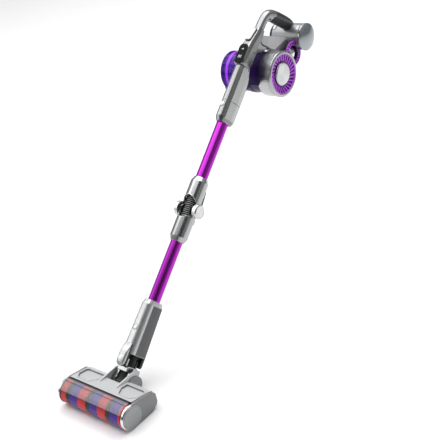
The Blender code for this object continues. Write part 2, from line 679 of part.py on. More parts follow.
def make_yoke():
    """The saddle between the roll axis (along t) and the pitch axis (along X)."""
    roll = (0, 0, ROLL_S)
    pitch = (0, PITCH_T, PITCH_S)
    body = box("yoke", WAND, roll, (-18.0, -21.5, -31.0), (18.0, 23.0, -15.0), "silver")
    parts = [box("yoke_web", WAND, roll, (-17.4, 9.0, -47.0), (17.4, 22.0, -20.0))]
    ear = mirrored([(9.0, -24.0), *arc((0.0, 0.0), 9.0, 0.0, 90.0, 4)])
    for name, low, high in (("front", -22.2, -16.0), ("rear", 18.0, 23.8)):
        parts.append(plate(f"yoke_ear_{name}", WAND, roll, "y", ear, low, high))
    for hand in (1, -1):
        low, high = sorted((hand * 16.7, hand * 26.7))
        cheek = box(f"yoke_cheek_{hand}", WAND, roll, (low, -12.6, -54.0), (high, 21.4, -17.0))
        disc = cylinder(f"yoke_disc_{hand}", WAND, pitch, "x", DRUM_R, 10.5, at=(hand * 21.75, 0, 0))
        parts += [cheek, disc]
    join(body, *parts)
    cut(
        body,
        cylinder("yoke_bore", WAND, (0, 1, -463), "z", 12.0, 60.0, steps=16),
        cylinder("yoke_roll_bore", WAND, roll, "y", 4.8, 80.0, steps=16),
        cylinder("yoke_pitch_bore", WAND, pitch, "x", 6.3, 80.0, steps=16),
    )


def wand_to_world(t, s):
    lean = math.radians(LEAN)
    y = PIVOT[1] + s * math.sin(lean) + t * math.cos(lean)
    z = PIVOT[2] + s * math.cos(lean) - t * math.sin(lean)
    return y, z


def make_head_bellows():
    y, z = wand_to_world(1.0, -469.0)
    knots = [(y, z, 11.5), (y - 9.0, z - 6.5, 12.5), (y - 24.0, z - 15.0, 13.5), (15.0, ROLLER_Z - 1.0, 13.5)]
    swept("head_bellows", FLOOR, smooth_path(knots, 2), 1.0, "rubber", sides=3)


# Floor head


def head_profile(low, high):
    """Side outline of the housing behind the roller between two heights, open arc to the front."""
    centre = (ROLLER_Y, ROLLER_Z)
    radius = COVER_R + 1.8
    start = math.degrees(math.asin((low - ROLLER_Z) / radius))
    end = math.degrees(math.asin(min(1.0, (high - ROLLER_Z) / radius)))
    return arc(centre, radius, end, start, 8)


def make_head_shells():
    split = 22.0
    base_outline = [*head_profile(0.0, split), (14.0, 0.0), (34.0, 9.0), (37.0, 14.0), (37.0, split)]
    base = plate("head_base", FLOOR, (0, 0, 0), "x", base_outline, -HEAD_HALF, HEAD_HALF, "gunmetal")
    cover_outline = head_profile(split + GAP, 64.0)
    cover_outline += [(37.0, split + GAP), (37.0, 40.0), (32.0, 49.0), (24.0, 52.0), (-32.0, 65.0)]
    cover = plate("head_cover", FLOOR, (0, 0, 0), "x", cover_outline, -HEAD_HALF, HEAD_HALF, "silver")
    boss_y, boss_z = wand_to_world(PITCH_T, PITCH_S)
    slot = box("head_slot", FLOOR, (0, 0, 0), (-27.6, 12.0, -8.0), (27.6, 90.0, 90.0))
    boss_at = (0, boss_y, boss_z)
    fin = [(-4.0, 50.0), (-4.0, 56.0), (46.0, 60.0), (54.0, 56.0), (54.0, boss_z + 21.0), (30.0, 40.0)]
    for hand in (1, -1):
        middle = (hand * 33.3, 0, 0)
        join(base, cylinder(f"head_boss_{hand}", FLOOR, boss_at, "x", 24.0, 11.4, at=middle))
        low, high = sorted((hand * 28.4, hand * 33.4))
        join(cover, plate(f"head_fin_{hand}", FLOOR, (0, 0, 0), "x", fin, low, high))
        cut(cover, cylinder(f"head_boss_clear_{hand}", FLOOR, boss_at, "x", 24.5, 12.6, at=middle))
        wheel_at = (hand * 96.0, WHEEL_Y, 0)
        cut(base, box(f"wheel_pocket_{hand}", FLOOR, wheel_at, (-6.0, -11.0, -9.0), (6.0, 30.0, 17.0)))
    hollow = [(-8.0, split - 2.0), (-8.0, 54.0), (22.0, 48.6), (29.0, 46.0), (33.5, 39.0), (33.5, split - 2.0)]
    for hand in (1, -1):
        low, high = sorted((hand * 42.0, hand * (HEAD_HALF - 3.0)))
        cut(cover, plate(f"cover_hollow_{hand}", FLOOR, (0, 0, 0), "x", hollow, low, high))
    duct = cylinder("head_duct", FLOOR, (0, -2, ROLLER_Z - 1.0), "y", 14.2, 60.0, steps=20)
    cut(base, slot, duct)
    cut(cover, slot, duct)
    pin = [(0.0, 39.0), (5.6, 39.0), (5.6, 18.0), (0.0, 18.0)]
    for hand, side in ((1, "right"), (-1, "left")):
        turned(f"pitch_pin_{side}", FLOOR, boss_at, "x", pin, "steel", steps=16, flip=hand < 0)
    cut(base, cylinder("base_pin_bore", FLOOR, boss_at, "x", 5.9, 120.0, steps=16))


def make_roller():
    axis = (0, ROLLER_Y, ROLLER_Z)
    half = HEAD_HALF - 1.5
    shell = arc((0.0, 0.0), COVER_R + 1.4, 75.0, 142.0, 12) + arc((0.0, 0.0), COVER_R - 0.4, 142.0, 75.0, 12)
    plate("roller_cover", FLOOR, axis, "x", shell, -half, half, "smoke_clear")
    strip = arc((0.0, 0.0), COVER_R + 1.4, 66.0, 74.4, 2) + arc((0.0, 0.0), COVER_R - 0.4, 74.4, 66.0, 2)
    plate("seal_strip", FLOOR, axis, "x", strip, -half, half, "black")
    core = [(20.0, half - 1.0), (20.0, 1.0 - half), (16.6, 1.0 - half), (16.6, half - 1.0)]
    turned("roller_core", FLOOR, axis, "x", core, "violet", steps=20)
    plush = [(ROLLER_R, half - 1.5), (ROLLER_R, 1.5 - half), (20.3, 1.5 - half), (20.3, half - 1.5)]
    turned("roller_sleeve", FLOOR, axis, "x", plush, "red_plush", steps=28)
    motor = [(0.0, 30.0), (15.5, 30.0), (15.5, -half + 0.3), (0.0, -half + 0.3)]
    turned("brush_motor", FLOOR, axis, "x", motor, "steel", steps=16)


def make_end_caps():
    outline = arc((ROLLER_Y, ROLLER_Z), COVER_R - 2.5, -90.0, -255.0, 14)
    outline += [(-36.0, 62.5), (22.0, 53.0), *arc((24.0, 39.0), 13.0, 75.0, -5.0, 4), (37.0, 16.0), (32.0, 8.0), (14.0, 0.0)]
    for hand, side in ((1, "right"), (-1, "left")):
        low, high = sorted((hand * (HEAD_HALF + GAP), hand * HEAD_END))
        cap = plate(f"end_cap_{side}", FLOOR, (0, 0, 0), "x", outline, low, high, "gunmetal")
        bevel(cap, 2.5, 2, 40.0)
        if hand > 0:
            boss = cylinder("roller_boss", FLOOR, (0, ROLLER_Y, ROLLER_Z), "x", 15.8, 30.0, at=(HEAD_HALF - 10.0, 0, 0), steps=20)
            join(cap, boss)


def make_wheels():
    for hand, side in ((1, "right"), (-1, "left")):
        centre = (hand * 96.0, WHEEL_Y, FLOOR_Z + WHEEL_R)
        half = [(WHEEL_R, 3.4), (7.6, 4.5), (2.0, 4.5), (2.0, 5.6)]
        profile = [(0.0, 5.6), *reversed(half), *[(r, -h) for r, h in half], (0.0, -5.6)]
        turned(f"wheel_{side}", FLOOR, centre, "x", profile, "rubber", steps=20)


make_tubes()
make_collars()
make_fold_catch()
make_nozzle()
make_handle()
make_cyclone()
make_dust_cup()
make_motor()
make_bridge()
make_exhaust()
make_battery()
make_neck_socket()
make_yoke()
make_head_bellows()
make_head_shells()
make_roller()
make_end_caps()
make_wheels()
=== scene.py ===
"""The looks of a cordless stick vacuum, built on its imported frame.

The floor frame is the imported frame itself. The wand frame has x right, t back and square to the
wand, and s up along the wand, with its origin on the fold pivot. Sizes are in millimetres in
one of those two frames, unless a name says otherwise.
"""

import math

import bmesh
import bpy
from mathutils import Matrix, Vector


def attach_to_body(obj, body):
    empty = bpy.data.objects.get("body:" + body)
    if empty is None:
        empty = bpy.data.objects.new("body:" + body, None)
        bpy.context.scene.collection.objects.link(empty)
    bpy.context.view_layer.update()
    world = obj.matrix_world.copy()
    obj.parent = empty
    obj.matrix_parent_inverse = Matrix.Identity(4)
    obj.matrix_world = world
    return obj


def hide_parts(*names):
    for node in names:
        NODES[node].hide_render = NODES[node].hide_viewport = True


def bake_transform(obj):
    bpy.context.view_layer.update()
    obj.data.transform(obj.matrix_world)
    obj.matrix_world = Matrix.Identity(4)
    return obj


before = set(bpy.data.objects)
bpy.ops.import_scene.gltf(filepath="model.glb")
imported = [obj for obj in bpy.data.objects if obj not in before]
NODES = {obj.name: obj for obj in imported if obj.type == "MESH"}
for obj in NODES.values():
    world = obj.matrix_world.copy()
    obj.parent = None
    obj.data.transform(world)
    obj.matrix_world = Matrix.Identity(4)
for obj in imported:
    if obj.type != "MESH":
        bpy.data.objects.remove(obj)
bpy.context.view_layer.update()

MM = 0.001

# Wand
LEAN = 49
PIVOT = (0, 410, 358)
TUBE_R = 17
TUBE_BORE = 15.8
TUBE_FIT = 17.3
COLLAR_R = 25.5
KNOB_R = 21
NOZZLE_END = 264
NOZZLE_SPLIT = 326
SOCKET_TOP = -268
SOCKET_END = -420
TUBE_IN_SOCKET = 54
DISPLAY_AT = (0, -34, 468.4)
MODE_AT = (0, -22.5, 535)
MODE_TILT = -14
SLIDE_AT = (0, 25.5, -26)
NOZZLE_BUTTON = 312
NECK_BUTTON = -349

# Neck
ROLL_S = -437
PITCH = (10, -494)

# Hand unit
DRUM = (97, 478)
CUP_R = 58
MOTOR_R = 66
EXHAUST = (145, 571)
EXHAUST_R = 35
BATTERY = (151, 632)
BATTERY_R = 39
PACK_R = 22.5

# Floor head
ROLLER = (-53, 31)
ROLLER_R = 33.5
COVER_R = 36
HEAD_HALF = 115
HEAD_END = 124
FLOOR_Z = -2.5
WHEEL_R = 9
WHEEL_AT = (96, 24)

FLOOR = Matrix.Identity(4)
WAND = Matrix.Translation(Vector(PIVOT) * MM) @ Matrix.Rotation(math.radians(-LEAN), 4, "X")
ORIGIN = (0, 0, 0)
SIDES = ((1, "right"), (-1, "left"))
TOWARDS = {
    "x": Matrix.Rotation(math.radians(90), 4, "Y"),
    "y": Matrix.Rotation(math.radians(-90), 4, "X"),
    "z": Matrix.Identity(4),
}


# Materials

BROAD = 25  # how much coarser the mottling of the gloss is
WHOLE_BANDS = 10  # keeps the band count above zero along the roller


def feed(tree, node, inputs):
    """Fill a node's inputs by name or number: a socket is linked, a value is set."""
    for name, value in inputs.items():
        if isinstance(value, bpy.types.NodeSocket):
            tree.links.new(value, node.inputs[name])
        else:
            node.inputs[name].default_value = value


def add_node(tree, kind, output, inputs, **settings):
    """The named output of a new node."""
    made = tree.nodes.new(kind)
    for name, value in settings.items():
        setattr(made, name, value)
    feed(tree, made, inputs)
    return made.outputs[output]


def noise(tree, source, scale, detail=3):
    inputs = {"Scale": scale, "Detail": detail, "Vector": source}
    return add_node(tree, "ShaderNodeTexNoise", "Fac", inputs)


def coordinates(tree, kind="Object"):
    return add_node(tree, "ShaderNodeTexCoord", kind, {})


def height_of(tree, source):
    return add_node(tree, "ShaderNodeSeparateXYZ", "Z", {"Vector": source})


def stretched(tree, stretch=(1, 1, 1)):
    return add_node(tree, "ShaderNodeMapping", "Vector", {"Scale": stretch, "Vector": coordinates(tree)})


def map_range(tree, source, low, high, start=0, end=1, **settings):
    inputs = {"Value": source, "From Min": start, "From Max": end, "To Min": low, "To Max": high}
    return add_node(tree, "ShaderNodeMapRange", "Result", inputs, **settings)


def math_node(tree, operation, *values):
    return add_node(tree, "ShaderNodeMath", "Value", dict(enumerate(values)), operation=operation)


def mix_colors(tree, factor, first, second):
    made = tree.nodes.new("ShaderNodeMix")
    made.data_type = "RGBA"
    tree.links.new(factor, made.inputs["Factor"])
    for socket, value in (("A", first), ("B", second)):
        target = next(s for s in made.inputs if s.name == socket and s.type == "RGBA")
        if isinstance(value, bpy.types.NodeSocket):
            tree.links.new(value, target)
        else:
            target.default_value = (*value, 1)
    return next(s for s in made.outputs if s.type == "RGBA")


def add_bump(tree, shader, height, strength, depth_mm):
    inputs = {"Strength": strength, "Distance": depth_mm * MM, "Height": height}
    feed(tree, shader, {"Normal": add_node(tree, "ShaderNodeBump", "Normal", inputs)})


def new_material(name):
    made = bpy.data.materials.new(name)
    made.use_nodes = True
    return made, made.node_tree, made.node_tree.nodes["Principled BSDF"]


def shaded(color, factor):
    return tuple(min(1, c * factor) for c in color)


def surface(
    name, color, roughness, metallic=0, vary=0.1, grain=600, bump=0.1, wear=0.06, stretch=(1, 1, 1), **fixed
):
    """A moulded, painted or metal surface: fine mottling in its colour, gloss and bump."""
    made, tree, shader = new_material(name)
    where = stretched(tree, stretch)
    fine = noise(tree, where, grain)
    broad = noise(tree, where, grain / BROAD)
    inputs = {
        "Base Color": mix_colors(tree, fine, shaded(color, 1 - vary), shaded(color, 1 + vary)),
        "Roughness": map_range(tree, broad, max(0.02, roughness - wear), roughness + wear),
        "Metallic": metallic,
    }
    feed(tree, shader, inputs)
    add_bump(tree, shader, fine, bump, 0.1)
    for socket, value in fixed.items():
        shader.inputs[socket.replace("_", " ").title().replace("Ior", "IOR")].default_value = value
    return made


def spun_metal(name, color, roughness, anisotropic):
    """Metal turned on a lathe about the piece's own z axis."""
    made = surface(name, color, roughness, 1, vary=0.02, grain=1500, bump=0, wear=0.01)
    tree = made.node_tree
    tangent = add_node(tree, "ShaderNodeTangent", "Tangent", {}, direction_type="RADIAL", axis="Z")
    feed(tree, tree.nodes["Principled BSDF"], {"Tangent": tangent, "Anisotropic": anisotropic})
    return made


def plush_bands(name, start, widths, colors):
    """Bands of bristle round the roller, repeated along the piece's own z axis."""
    made, tree, shader = new_material(name)
    period = sum(widths)
    along = height_of(tree, coordinates(tree))
    count = math_node(tree, "MULTIPLY_ADD", along, 1 / (period * MM), WHOLE_BANDS - start / period)
    ramp = tree.nodes.new("ShaderNodeValToRGB")
    ramp.color_ramp.interpolation = "CONSTANT"
    stops = ramp.color_ramp.elements
    while len(stops) < len(colors):
        stops.new(0.5)
    reached = 0
    for stop, width, color in zip(stops, widths, colors):
        stop.position = reached / period
        stop.color = (*color, 1)
        reached += width
    feed(tree, ramp, {"Fac": math_node(tree, "FRACT", count)})
    tufts = noise(tree, stretched(tree), 1400, 4)
    darkest = (0, 0, 0)
    inputs = {
        "Base Color": mix_colors(tree, map_range(tree, tufts, 0, 0.55), ramp.outputs["Color"], darkest),
        "Roughness": 0.85,
        "Sheen Weight": 0.35,
        "Sheen Roughness": 0.4,
    }
    feed(tree, shader, inputs)
    add_bump(tree, shader, tufts, 0.8, 0.5)
    return made


def perforated(name, color, pitch):
    """Sheet metal with a fine grid of dark holes."""
    made = surface(name, color, 0.35, 0.9, vary=0.05)
    tree = made.node_tree
    inputs = {"Scale": 1 / (pitch * MM), "Randomness": 0, "Vector": coordinates(tree)}
    reach = add_node(tree, "ShaderNodeTexVoronoi", "Distance", inputs, feature="F1")
    holes = mix_colors(tree, math_node(tree, "GREATER_THAN", reach, 0.45), (0.01, 0.01, 0.01), color)
    feed(tree, tree.nodes["Principled BSDF"], {"Base Color": holes})
    return made


# What several surfaces share
PAINT = {"vary": 0.03, "grain": 1500, "bump": 0.02}
SATIN_PAINT = {"vary": 0.03, "grain": 1800, "bump": 0.05, "wear": 0.02}
MATT = {"vary": 0.05, "grain": 1800, "bump": 0.08}
CLEAR = {"vary": 0.03, "grain": 300, "bump": 0.01, "wear": 0.02}
RIB = {"vary": 0.12, "grain": 900, "bump": 0.15}

SILVER = surface("silver_paint", (0.42, 0.425, 0.43), 0.2, 0.97, **PAINT, wear=0.02)
# The silver paint again, darkened: painted shade on the fronts of the nozzle, spine and display housing.
SHADED_FRONT_SILVER = surface("front_silver_painted_shade", (0.27, 0.273, 0.278), 0.22, 0.85, **PAINT)
# The silver paint again, darkened: painted shade on the handle and the flare.
SHADED_HANDLE_SILVER = surface("handle_silver_painted_shade", (0.33, 0.334, 0.34), 0.2, 0.92, **PAINT)
# The silver paint again, lighter and less metallic: painted light on the neck socket and fork arm.
LIT_NECK_SILVER = surface("neck_silver_painted_light", (0.47, 0.475, 0.48), 0.24, 0.68, **PAINT)
SATIN = surface("satin_grey", (0.30, 0.305, 0.31), 0.36, 0.85, vary=0.04, grain=1800, bump=0.05, wear=0.02)
HEAD_GREY = surface("head_grey_paint", (0.58, 0.585, 0.59), 0.36, 0.3, **SATIN_PAINT)
PLANE_GREY = surface("plane_grey", (0.60, 0.605, 0.61), 0.38, 0.3, **SATIN_PAINT)
SIDE_GREY = surface("side_grey", (0.22, 0.223, 0.228), 0.42, 0.6, **MATT)
NECK_SIDE = surface("neck_side_grey", (0.115, 0.118, 0.122), 0.4, 0.5, **MATT)
GUNMETAL = surface("gunmetal_paint", (0.10, 0.102, 0.108), 0.26, 0.9, vary=0.05, grain=1500, wear=0.03)
CHROME = surface("bright_plating", (0.72, 0.73, 0.75), 0.1, 1, vary=0.02, grain=300, bump=0.01, wear=0.02)
# Plating on the battery cap, darkened and tinted blue: painted reflection of the surroundings on the chrome
# dome.
CAP_REFLECTION_GREY = surface("battery_cap_painted_reflection", (0.34, 0.365, 0.39), 0.2, 0.9, vary=0.03, grain=900, bump=0.02)
ANODISED = surface(
    "anodised_magenta", (0.42, 0.031, 0.47), 0.26, 0.97, vary=0.05, grain=900, bump=0.04,
    stretch=(1, 1, 0.02),
)
WHITE = surface("white_plastic", (0.80, 0.80, 0.81), 0.25, vary=0.02, grain=900, bump=0.03, coat_weight=0.3)
BLACK = surface(
    "black_plastic", (0.008, 0.008, 0.009), 0.42, vary=0.2, grain=1800, bump=0.15, specular_ior_level=0.35
)
GLOSS_BLACK = surface(
    "display_glass", (0.004, 0.004, 0.005), 0.08, vary=0.1, grain=500, bump=0.005, wear=0.02,
    specular_ior_level=0.07,
)
LIT = surface(
    "display_lit_marks", (0.9, 0.92, 0.95), 0.5, vary=0.02, emission_color=(0.85, 0.9, 1, 1),
    emission_strength=0.5,
)
RUBBER = surface("soft_rubber", (0.020, 0.020, 0.021), 0.55, vary=0.25, grain=700, bump=0.4)
HOSE_RUBBER = surface(
    "hose_rubber", (0.005, 0.005, 0.0055), 0.5, vary=0.2, grain=900, bump=0.15, specular_ior_level=0.25
)
# Lighter rubber for the crests of the hose ribs: painted highlight where the ribs catch the light.
RIB_DIM_HIGHLIGHT = surface("dark_hose_rib", (0.035, 0.035, 0.036), 0.4, **RIB)
RIB_HIGHLIGHT = surface("hose_rib_painted_highlight", (0.34, 0.343, 0.346), 0.42, **RIB)
VIOLET_CLEAR = surface(
    "clear_violet", (0.13, 0.002, 0.55), 0.06, **CLEAR,
    transmission_weight=0.72, ior=1.3, specular_ior_level=0.3,
)
# Bright violet: the latch's own colour, and a painted highlight on the cup and lid bands.
VIOLET_BRIGHT = surface("bright_violet", (0.38, 0.012, 0.98), 0.3, vary=0.03, grain=500, bump=0.02)
VIOLET_DEEP = surface("deep_violet", (0.030, 0.003, 0.115), 0.2, vary=0.1, grain=500, bump=0.03)
VIOLET_DARK = surface(
    "shaded_violet", (0.014, 0.001, 0.055), 0.3, vary=0.1, grain=500, bump=0.03, specular_ior_level=0.22
)
FIN_VIOLET = surface("fin_violet", (0.60, 0.10, 0.92), 0.3, 0.2, vary=0.05, grain=700)
# A dark copy of the fin violet for the floor between the blades: painted shade.
FIN_SHADE = surface("fin_floor_painted_shade", (0.045, 0.002, 0.085), 0.35, 0.2, vary=0.1, grain=700)
SMOKE = surface(
    "smoked_cover", (0.66, 0.67, 0.67), 0.1, **CLEAR, alpha=0.17,
    specular_ior_level=0.25,
)
BRUSHED = spun_metal("brushed_aluminium", (0.44, 0.44, 0.45), 0.3, 0.3)
SPUN = spun_metal("spun_aluminium", (0.66, 0.66, 0.67), 0.26, 0.85)
PLUSH = plush_bands(
    "roller_plush", -122, (30.5, 15.3, 29.2),
    ((0.82, 0.024, 0.034), (0.022, 0.023, 0.023), (0.075, 0.018, 0.40)),
)
SCREEN = perforated("perforated_screen", (0.30, 0.28, 0.34), 1.8)
PAPER = surface("filter_paper", (0.82, 0.80, 0.75), 0.9, vary=0.06, grain=900, bump=0.4)
BOARD = surface("board_green", (0.02, 0.16, 0.06), 0.5, vary=0.2, grain=250, bump=0.1)
STEEL = surface("turned_steel", (0.52, 0.53, 0.55), 0.3, 1, vary=0.05, grain=900, stretch=(1, 1, 0.05))


# Mesh helpers

SHARP_OVER = 40  # edges that bend by more degrees are rounded
CUT_SMOOTH = 34  # edges of a cut piece that bend by fewer degrees look smooth
BLOCK_POINTS = 96
TINY = 1e-6


def shade(piece, smooth):
    """Smooth faces with sharp edges over an angle, and normals that follow the larger faces."""
    piece.data.shade_smooth()
    piece.data.set_sharp_from_angle(angle=math.radians(smooth))
    weighted = piece.modifiers.new("even_normals", "WEIGHTED_NORMAL")
    weighted.keep_sharp = True
    weighted.weight = 60
    return piece


def as_object(name, bm, matrix, look, smooth):
    bm.normal_update()
    bmesh.ops.recalc_face_normals(bm, faces=bm.faces)
    mesh = bpy.data.meshes.new(name)
    bm.to_mesh(mesh)
    bm.free()
    made = bpy.data.objects.new(name, mesh)
    bpy.context.scene.collection.objects.link(made)
    made.matrix_world = matrix
    if look:
        mesh.materials.append(look)
        shade(made, smooth)
    return made


def placed(frame_at, place, axis="z", flip=False):
    """The matrix of a piece whose own z axis runs along an axis of a frame, from a place in it."""
    turn = TOWARDS[axis] @ (Matrix.Rotation(math.pi, 4, "X") if flip else Matrix.Identity(4))
    return frame_at @ Matrix.Translation(Vector(place) * MM) @ turn


def soften(points, radii, steps=4, closed=True):
    """The outline with its corners turned into arcs; radii is one number or one for each corner."""
    if not hasattr(radii, "__len__"):
        radii = [radii] * len(points)
    made = []
    last = len(points) - 1
    for i, (point, radius) in enumerate(zip(points, radii)):
        if radius <= 0 or (not closed and i in (0, last)):
            made.append(tuple(point))
            continue
        corner = Vector(point)
        before = Vector(points[i - 1]) - corner
        after = Vector(points[(i + 1) % len(points)]) - corner
        half = before.angle(after) / 2
        if half > math.radians(88):
            made.append(tuple(point))
            continue
        reach = min(radius / math.tan(half), 0.48 * before.length, 0.48 * after.length)
        start = corner + before.normalized() * reach
        end = corner + after.normalized() * reach
        weight = math.sin(half)
        for k in range(steps + 1):
            u = k / steps
            a, b, c = (1 - u) ** 2, 2 * u * (1 - u) * weight, u * u
            made.append(tuple((start * a + corner * b + end * c) / (a + b + c)))
    return made


def arc(centre, radius, start, end, count):
    points = []
    for k in range(count + 1):
        angle = math.radians(start + (end - start) * k / count)
        points.append((centre[0] + radius * math.cos(angle), centre[1] + radius * math.sin(angle)))
    return points


def mirrored(half):
    return half + [(-u, v) for u, v in reversed(half) if u > TINY]


def lathe(name, frame_at, place, axis, profile, look=None, steps=96, flip=False, smooth=32):
    """A (radius, height) profile turned about an axis; it closes on itself when it misses the axis."""
    bm = bmesh.new()
    rings = []
    for radius, height in profile:
        if radius < TINY:
            rings.append([bm.verts.new((0, 0, height * MM))] * steps)
            continue
        ring = []
        for k in range(steps):
            angle = 2 * math.pi * k / steps
            ring.append(
                bm.verts.new((radius * MM * math.cos(angle), radius * MM * math.sin(angle), height * MM))
            )
        rings.append(ring)
    pairs = list(zip(rings, rings[1:]))
    if profile[0][0] > TINY and profile[-1][0] > TINY:
        pairs.append((rings[-1], rings[0]))
    for first, second in pairs:
        for k in range(steps):
            j = (k + 1) % steps
            corners = [first[k], first[j], second[j], second[k]]
            unique = [v for i, v in enumerate(corners) if v not in corners[:i]]
            if len(unique) > 2:
                bm.faces.new(unique)
    return as_object(name, bm, placed(frame_at, place, axis, flip), look, smooth)


def slab(name, frame_at, place, axis, outline, low, high, look=None, edge=0, steps=3, turn=0, smooth=32):
    """An outline thickened from low to high along an axis, with round edges of that radius.

    The outline is (t, s) or (y, z) for x, (x, s) for y and (x, t) for z.
    """
    order = {
        "x": lambda u, v, w: (w, u, v), "y": lambda u, v, w: (u, w, v), "z": lambda u, v, w: (u, v, w)
    }[axis]
    bm = bmesh.new()
    floor = [bm.verts.new(Vector(order(u, v, low)) * MM) for u, v in outline]
    roof = [bm.verts.new(Vector(order(u, v, high)) * MM) for u, v in outline]
    bm.faces.new(floor)
    bm.faces.new(reversed(roof))
    for k in range(len(outline)):
        j = (k + 1) % len(outline)
        bm.faces.new((floor[k], roof[k], roof[j], floor[j]))
    bmesh.ops.recalc_face_normals(bm, faces=bm.faces)
    if edge:
        round_edges(bm, edge, steps)
    if turn:
        bmesh.ops.rotate(bm, matrix=Matrix.Rotation(math.radians(turn), 3, "X"), verts=bm.verts)
    return as_object(name, bm, placed(frame_at, place), look, smooth)


def round_edges(bm, radius, steps):
    sharp = [e for e in bm.edges if e.is_manifold and e.calc_face_angle() > math.radians(SHARP_OVER)]
    bmesh.ops.bevel(
        bm, geom=sharp, offset=radius * MM, segments=steps, profile=0.5, affect="EDGES", clamp_overlap=True
    )


def loft(name, frame_at, sections, look=None, ring=False, smooth=40):
    """A skin through closed sections of (x, t, s) points; ring joins the last to the first."""
    bm = bmesh.new()
    rows = [[bm.verts.new(Vector(p) * MM) for p in section] for section in sections]
    pairs = list(zip(rows, rows[1:]))
    if ring:
        pairs.append((rows[-1], rows[0]))
    else:
        bm.faces.new(rows[0])
        bm.faces.new(reversed(rows[-1]))
    count = len(rows[0])
    for first, second in pairs:
        for k in range(count):
            j = (k + 1) % count
            bm.faces.new((first[k], first[j], second[j], second[k]))
    return as_object(name, bm, frame_at, look, smooth)


def block_ring(s, half, front, back, corner):
    """A rounded rectangle of points square to the wand, at s."""
    centre = (front + back) / 2
    high = (back - front) / 2
    outline = soften([(half, high), (-half, high), (-half, -high), (half, -high)], corner, 6)
    return [(x, t + centre, s) for x, t in polar(outline, BLOCK_POINTS)]


def wire(name, frame_at, points, radius, look):
    """A round bead along a line of points."""
    curve = bpy.data.curves.new(name, "CURVE")
    curve.dimensions = "3D"
    curve.bevel_depth = radius * MM
    curve.bevel_resolution = 2
    curve.use_fill_caps = True
    spline = curve.splines.new("POLY")
    spline.points.add(len(points) - 1)
    for point, where in zip(spline.points, points):
        point.co = (*(Vector(where) * MM), 1)
    made = bpy.data.objects.new(name, curve)
    bpy.context.scene.collection.objects.link(made)
    bpy.context.view_layer.update()
    mesh = bpy.data.meshes.new_from_object(made.evaluated_get(bpy.context.evaluated_depsgraph_get()))
    bpy.data.objects.remove(made, do_unlink=True)
    bm = bmesh.new()
    bm.from_mesh(mesh)
    bmesh.ops.remove_doubles(bm, verts=bm.verts, dist=TINY)
    return as_object(name, bm, frame_at, look, 40)


def baked(piece):
    """Apply the piece's modifiers."""
    bpy.context.view_layer.update()
    graph = bpy.context.evaluated_depsgraph_get()
    mesh = bpy.data.meshes.new_from_object(piece.evaluated_get(graph))
    piece.modifiers.clear()
    piece.data = mesh
    return piece


def combine(piece, others, operation):
    piece.modifiers.clear()
    for other in others:
        modifier = piece.modifiers.new("shape", "BOOLEAN")
        modifier.object = other
        modifier.operation = operation
        modifier.solver = "EXACT"
    baked(piece)
    for other in others:
        bpy.data.objects.remove(other, do_unlink=True)
    return shade(piece, CUT_SMOOTH)


def carve(piece, *cutters):
    return combine(piece, cutters, "DIFFERENCE")


def fuse(piece, *others):
    return combine(piece, others, "UNION")


def merge(piece, *others):
    """Add the other meshes to the piece's own, keeping their materials."""
    for other in (piece, *others):
        baked(other)
    bm = bmesh.new()
    bm.from_mesh(piece.data)
    for other in others:
        mesh = other.data
        mesh.transform(piece.matrix_world.inverted() @ other.matrix_world)
        slots = []
        for material in mesh.materials:
            if material.name not in piece.data.materials:
                piece.data.materials.append(material)
            slots.append(piece.data.materials.find(material.name))
        for face in mesh.polygons:
            face.material_index = slots[face.material_index]
        bm.from_mesh(mesh)
        bpy.data.objects.remove(other, do_unlink=True)
    bm.to_mesh(piece.data)
    bm.free()
    return piece


def attach(piece, body, node=None):
    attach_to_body(piece, body)
    if node:
        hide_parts(node)
    return piece


def dress_faces(piece, look, wanted):
    """A second material on the faces that wanted(centre in mm, normal) picks out: a second finish on some
    pieces, painted shade on others.
    """
    baked(piece)
    piece.data.materials.append(look)
    last = len(piece.data.materials) - 1
    for face in piece.data.polygons:
        if wanted(face.center / MM, face.normal):
            face.material_index = last


def spun(name, place, axis, steps=64, frame_at=WAND, low=-50, high=50, radius=5.3):
    """A plain cylinder used as a cutter."""
    return lathe(
        name, frame_at, place, axis, [(0, high), (radius, high), (radius, low), (0, low)], steps=steps
    )


def fins(name, frame_at, place, axis, count, inner, outer, thick, twist, flip=False, look=FIN_VIOLET):
    """Blades between two (radius, low, high) edges, each turned by twist from its root to its tip."""
    bm = bmesh.new()
    for k in range(count):
        start = 2 * math.pi * k / count
        rows = []
        for (radius, low, high), turn in ((inner, 0), (outer, math.radians(twist))):
            half = thick / 2 / radius
            for side in (-half, half):
                angle = start + turn + side
                for height in (low, high):
                    spot = Vector((radius * math.cos(angle), radius * math.sin(angle), height))
                    rows.append(bm.verts.new(spot * MM))
        a0, a1, b0, b1, c0, c1, d0, d1 = rows
        for corners in (
            (a0, a1, b1, b0), (c0, d0, d1, c1), (a0, c0, c1, a1), (b0, b1, d1, d0), (a0, b0, d0, c0),
            (a1, c1, d1, b1),
        ):
            bm.faces.new(corners)
    bmesh.ops.bevel(
        bm, geom=list(bm.edges), offset=0.16 * MM, segments=1, profile=0.5, affect="EDGES",
        clamp_overlap=True,
    )
    return as_object(name, bm, placed(frame_at, place, axis, flip), look, 30)


# Wand


def make_tubes():
    spans = (("upper_tube_skin", 68, NOZZLE_END + TUBE_IN_SOCKET, "wand_upper", "upper_tube"),)
    spans += (("lower_tube_skin", SOCKET_TOP - TUBE_IN_SOCKET, -68, "wand_lower", "lower_tube"),)
    for name, low, high, body, node in spans:
        wall = soften([(TUBE_R, high), (TUBE_R, low), (TUBE_BORE, low), (TUBE_BORE, high)], 0.3, 2)
        attach(lathe(name, WAND, ORIGIN, "z", wall, ANODISED, steps=120), body, node)


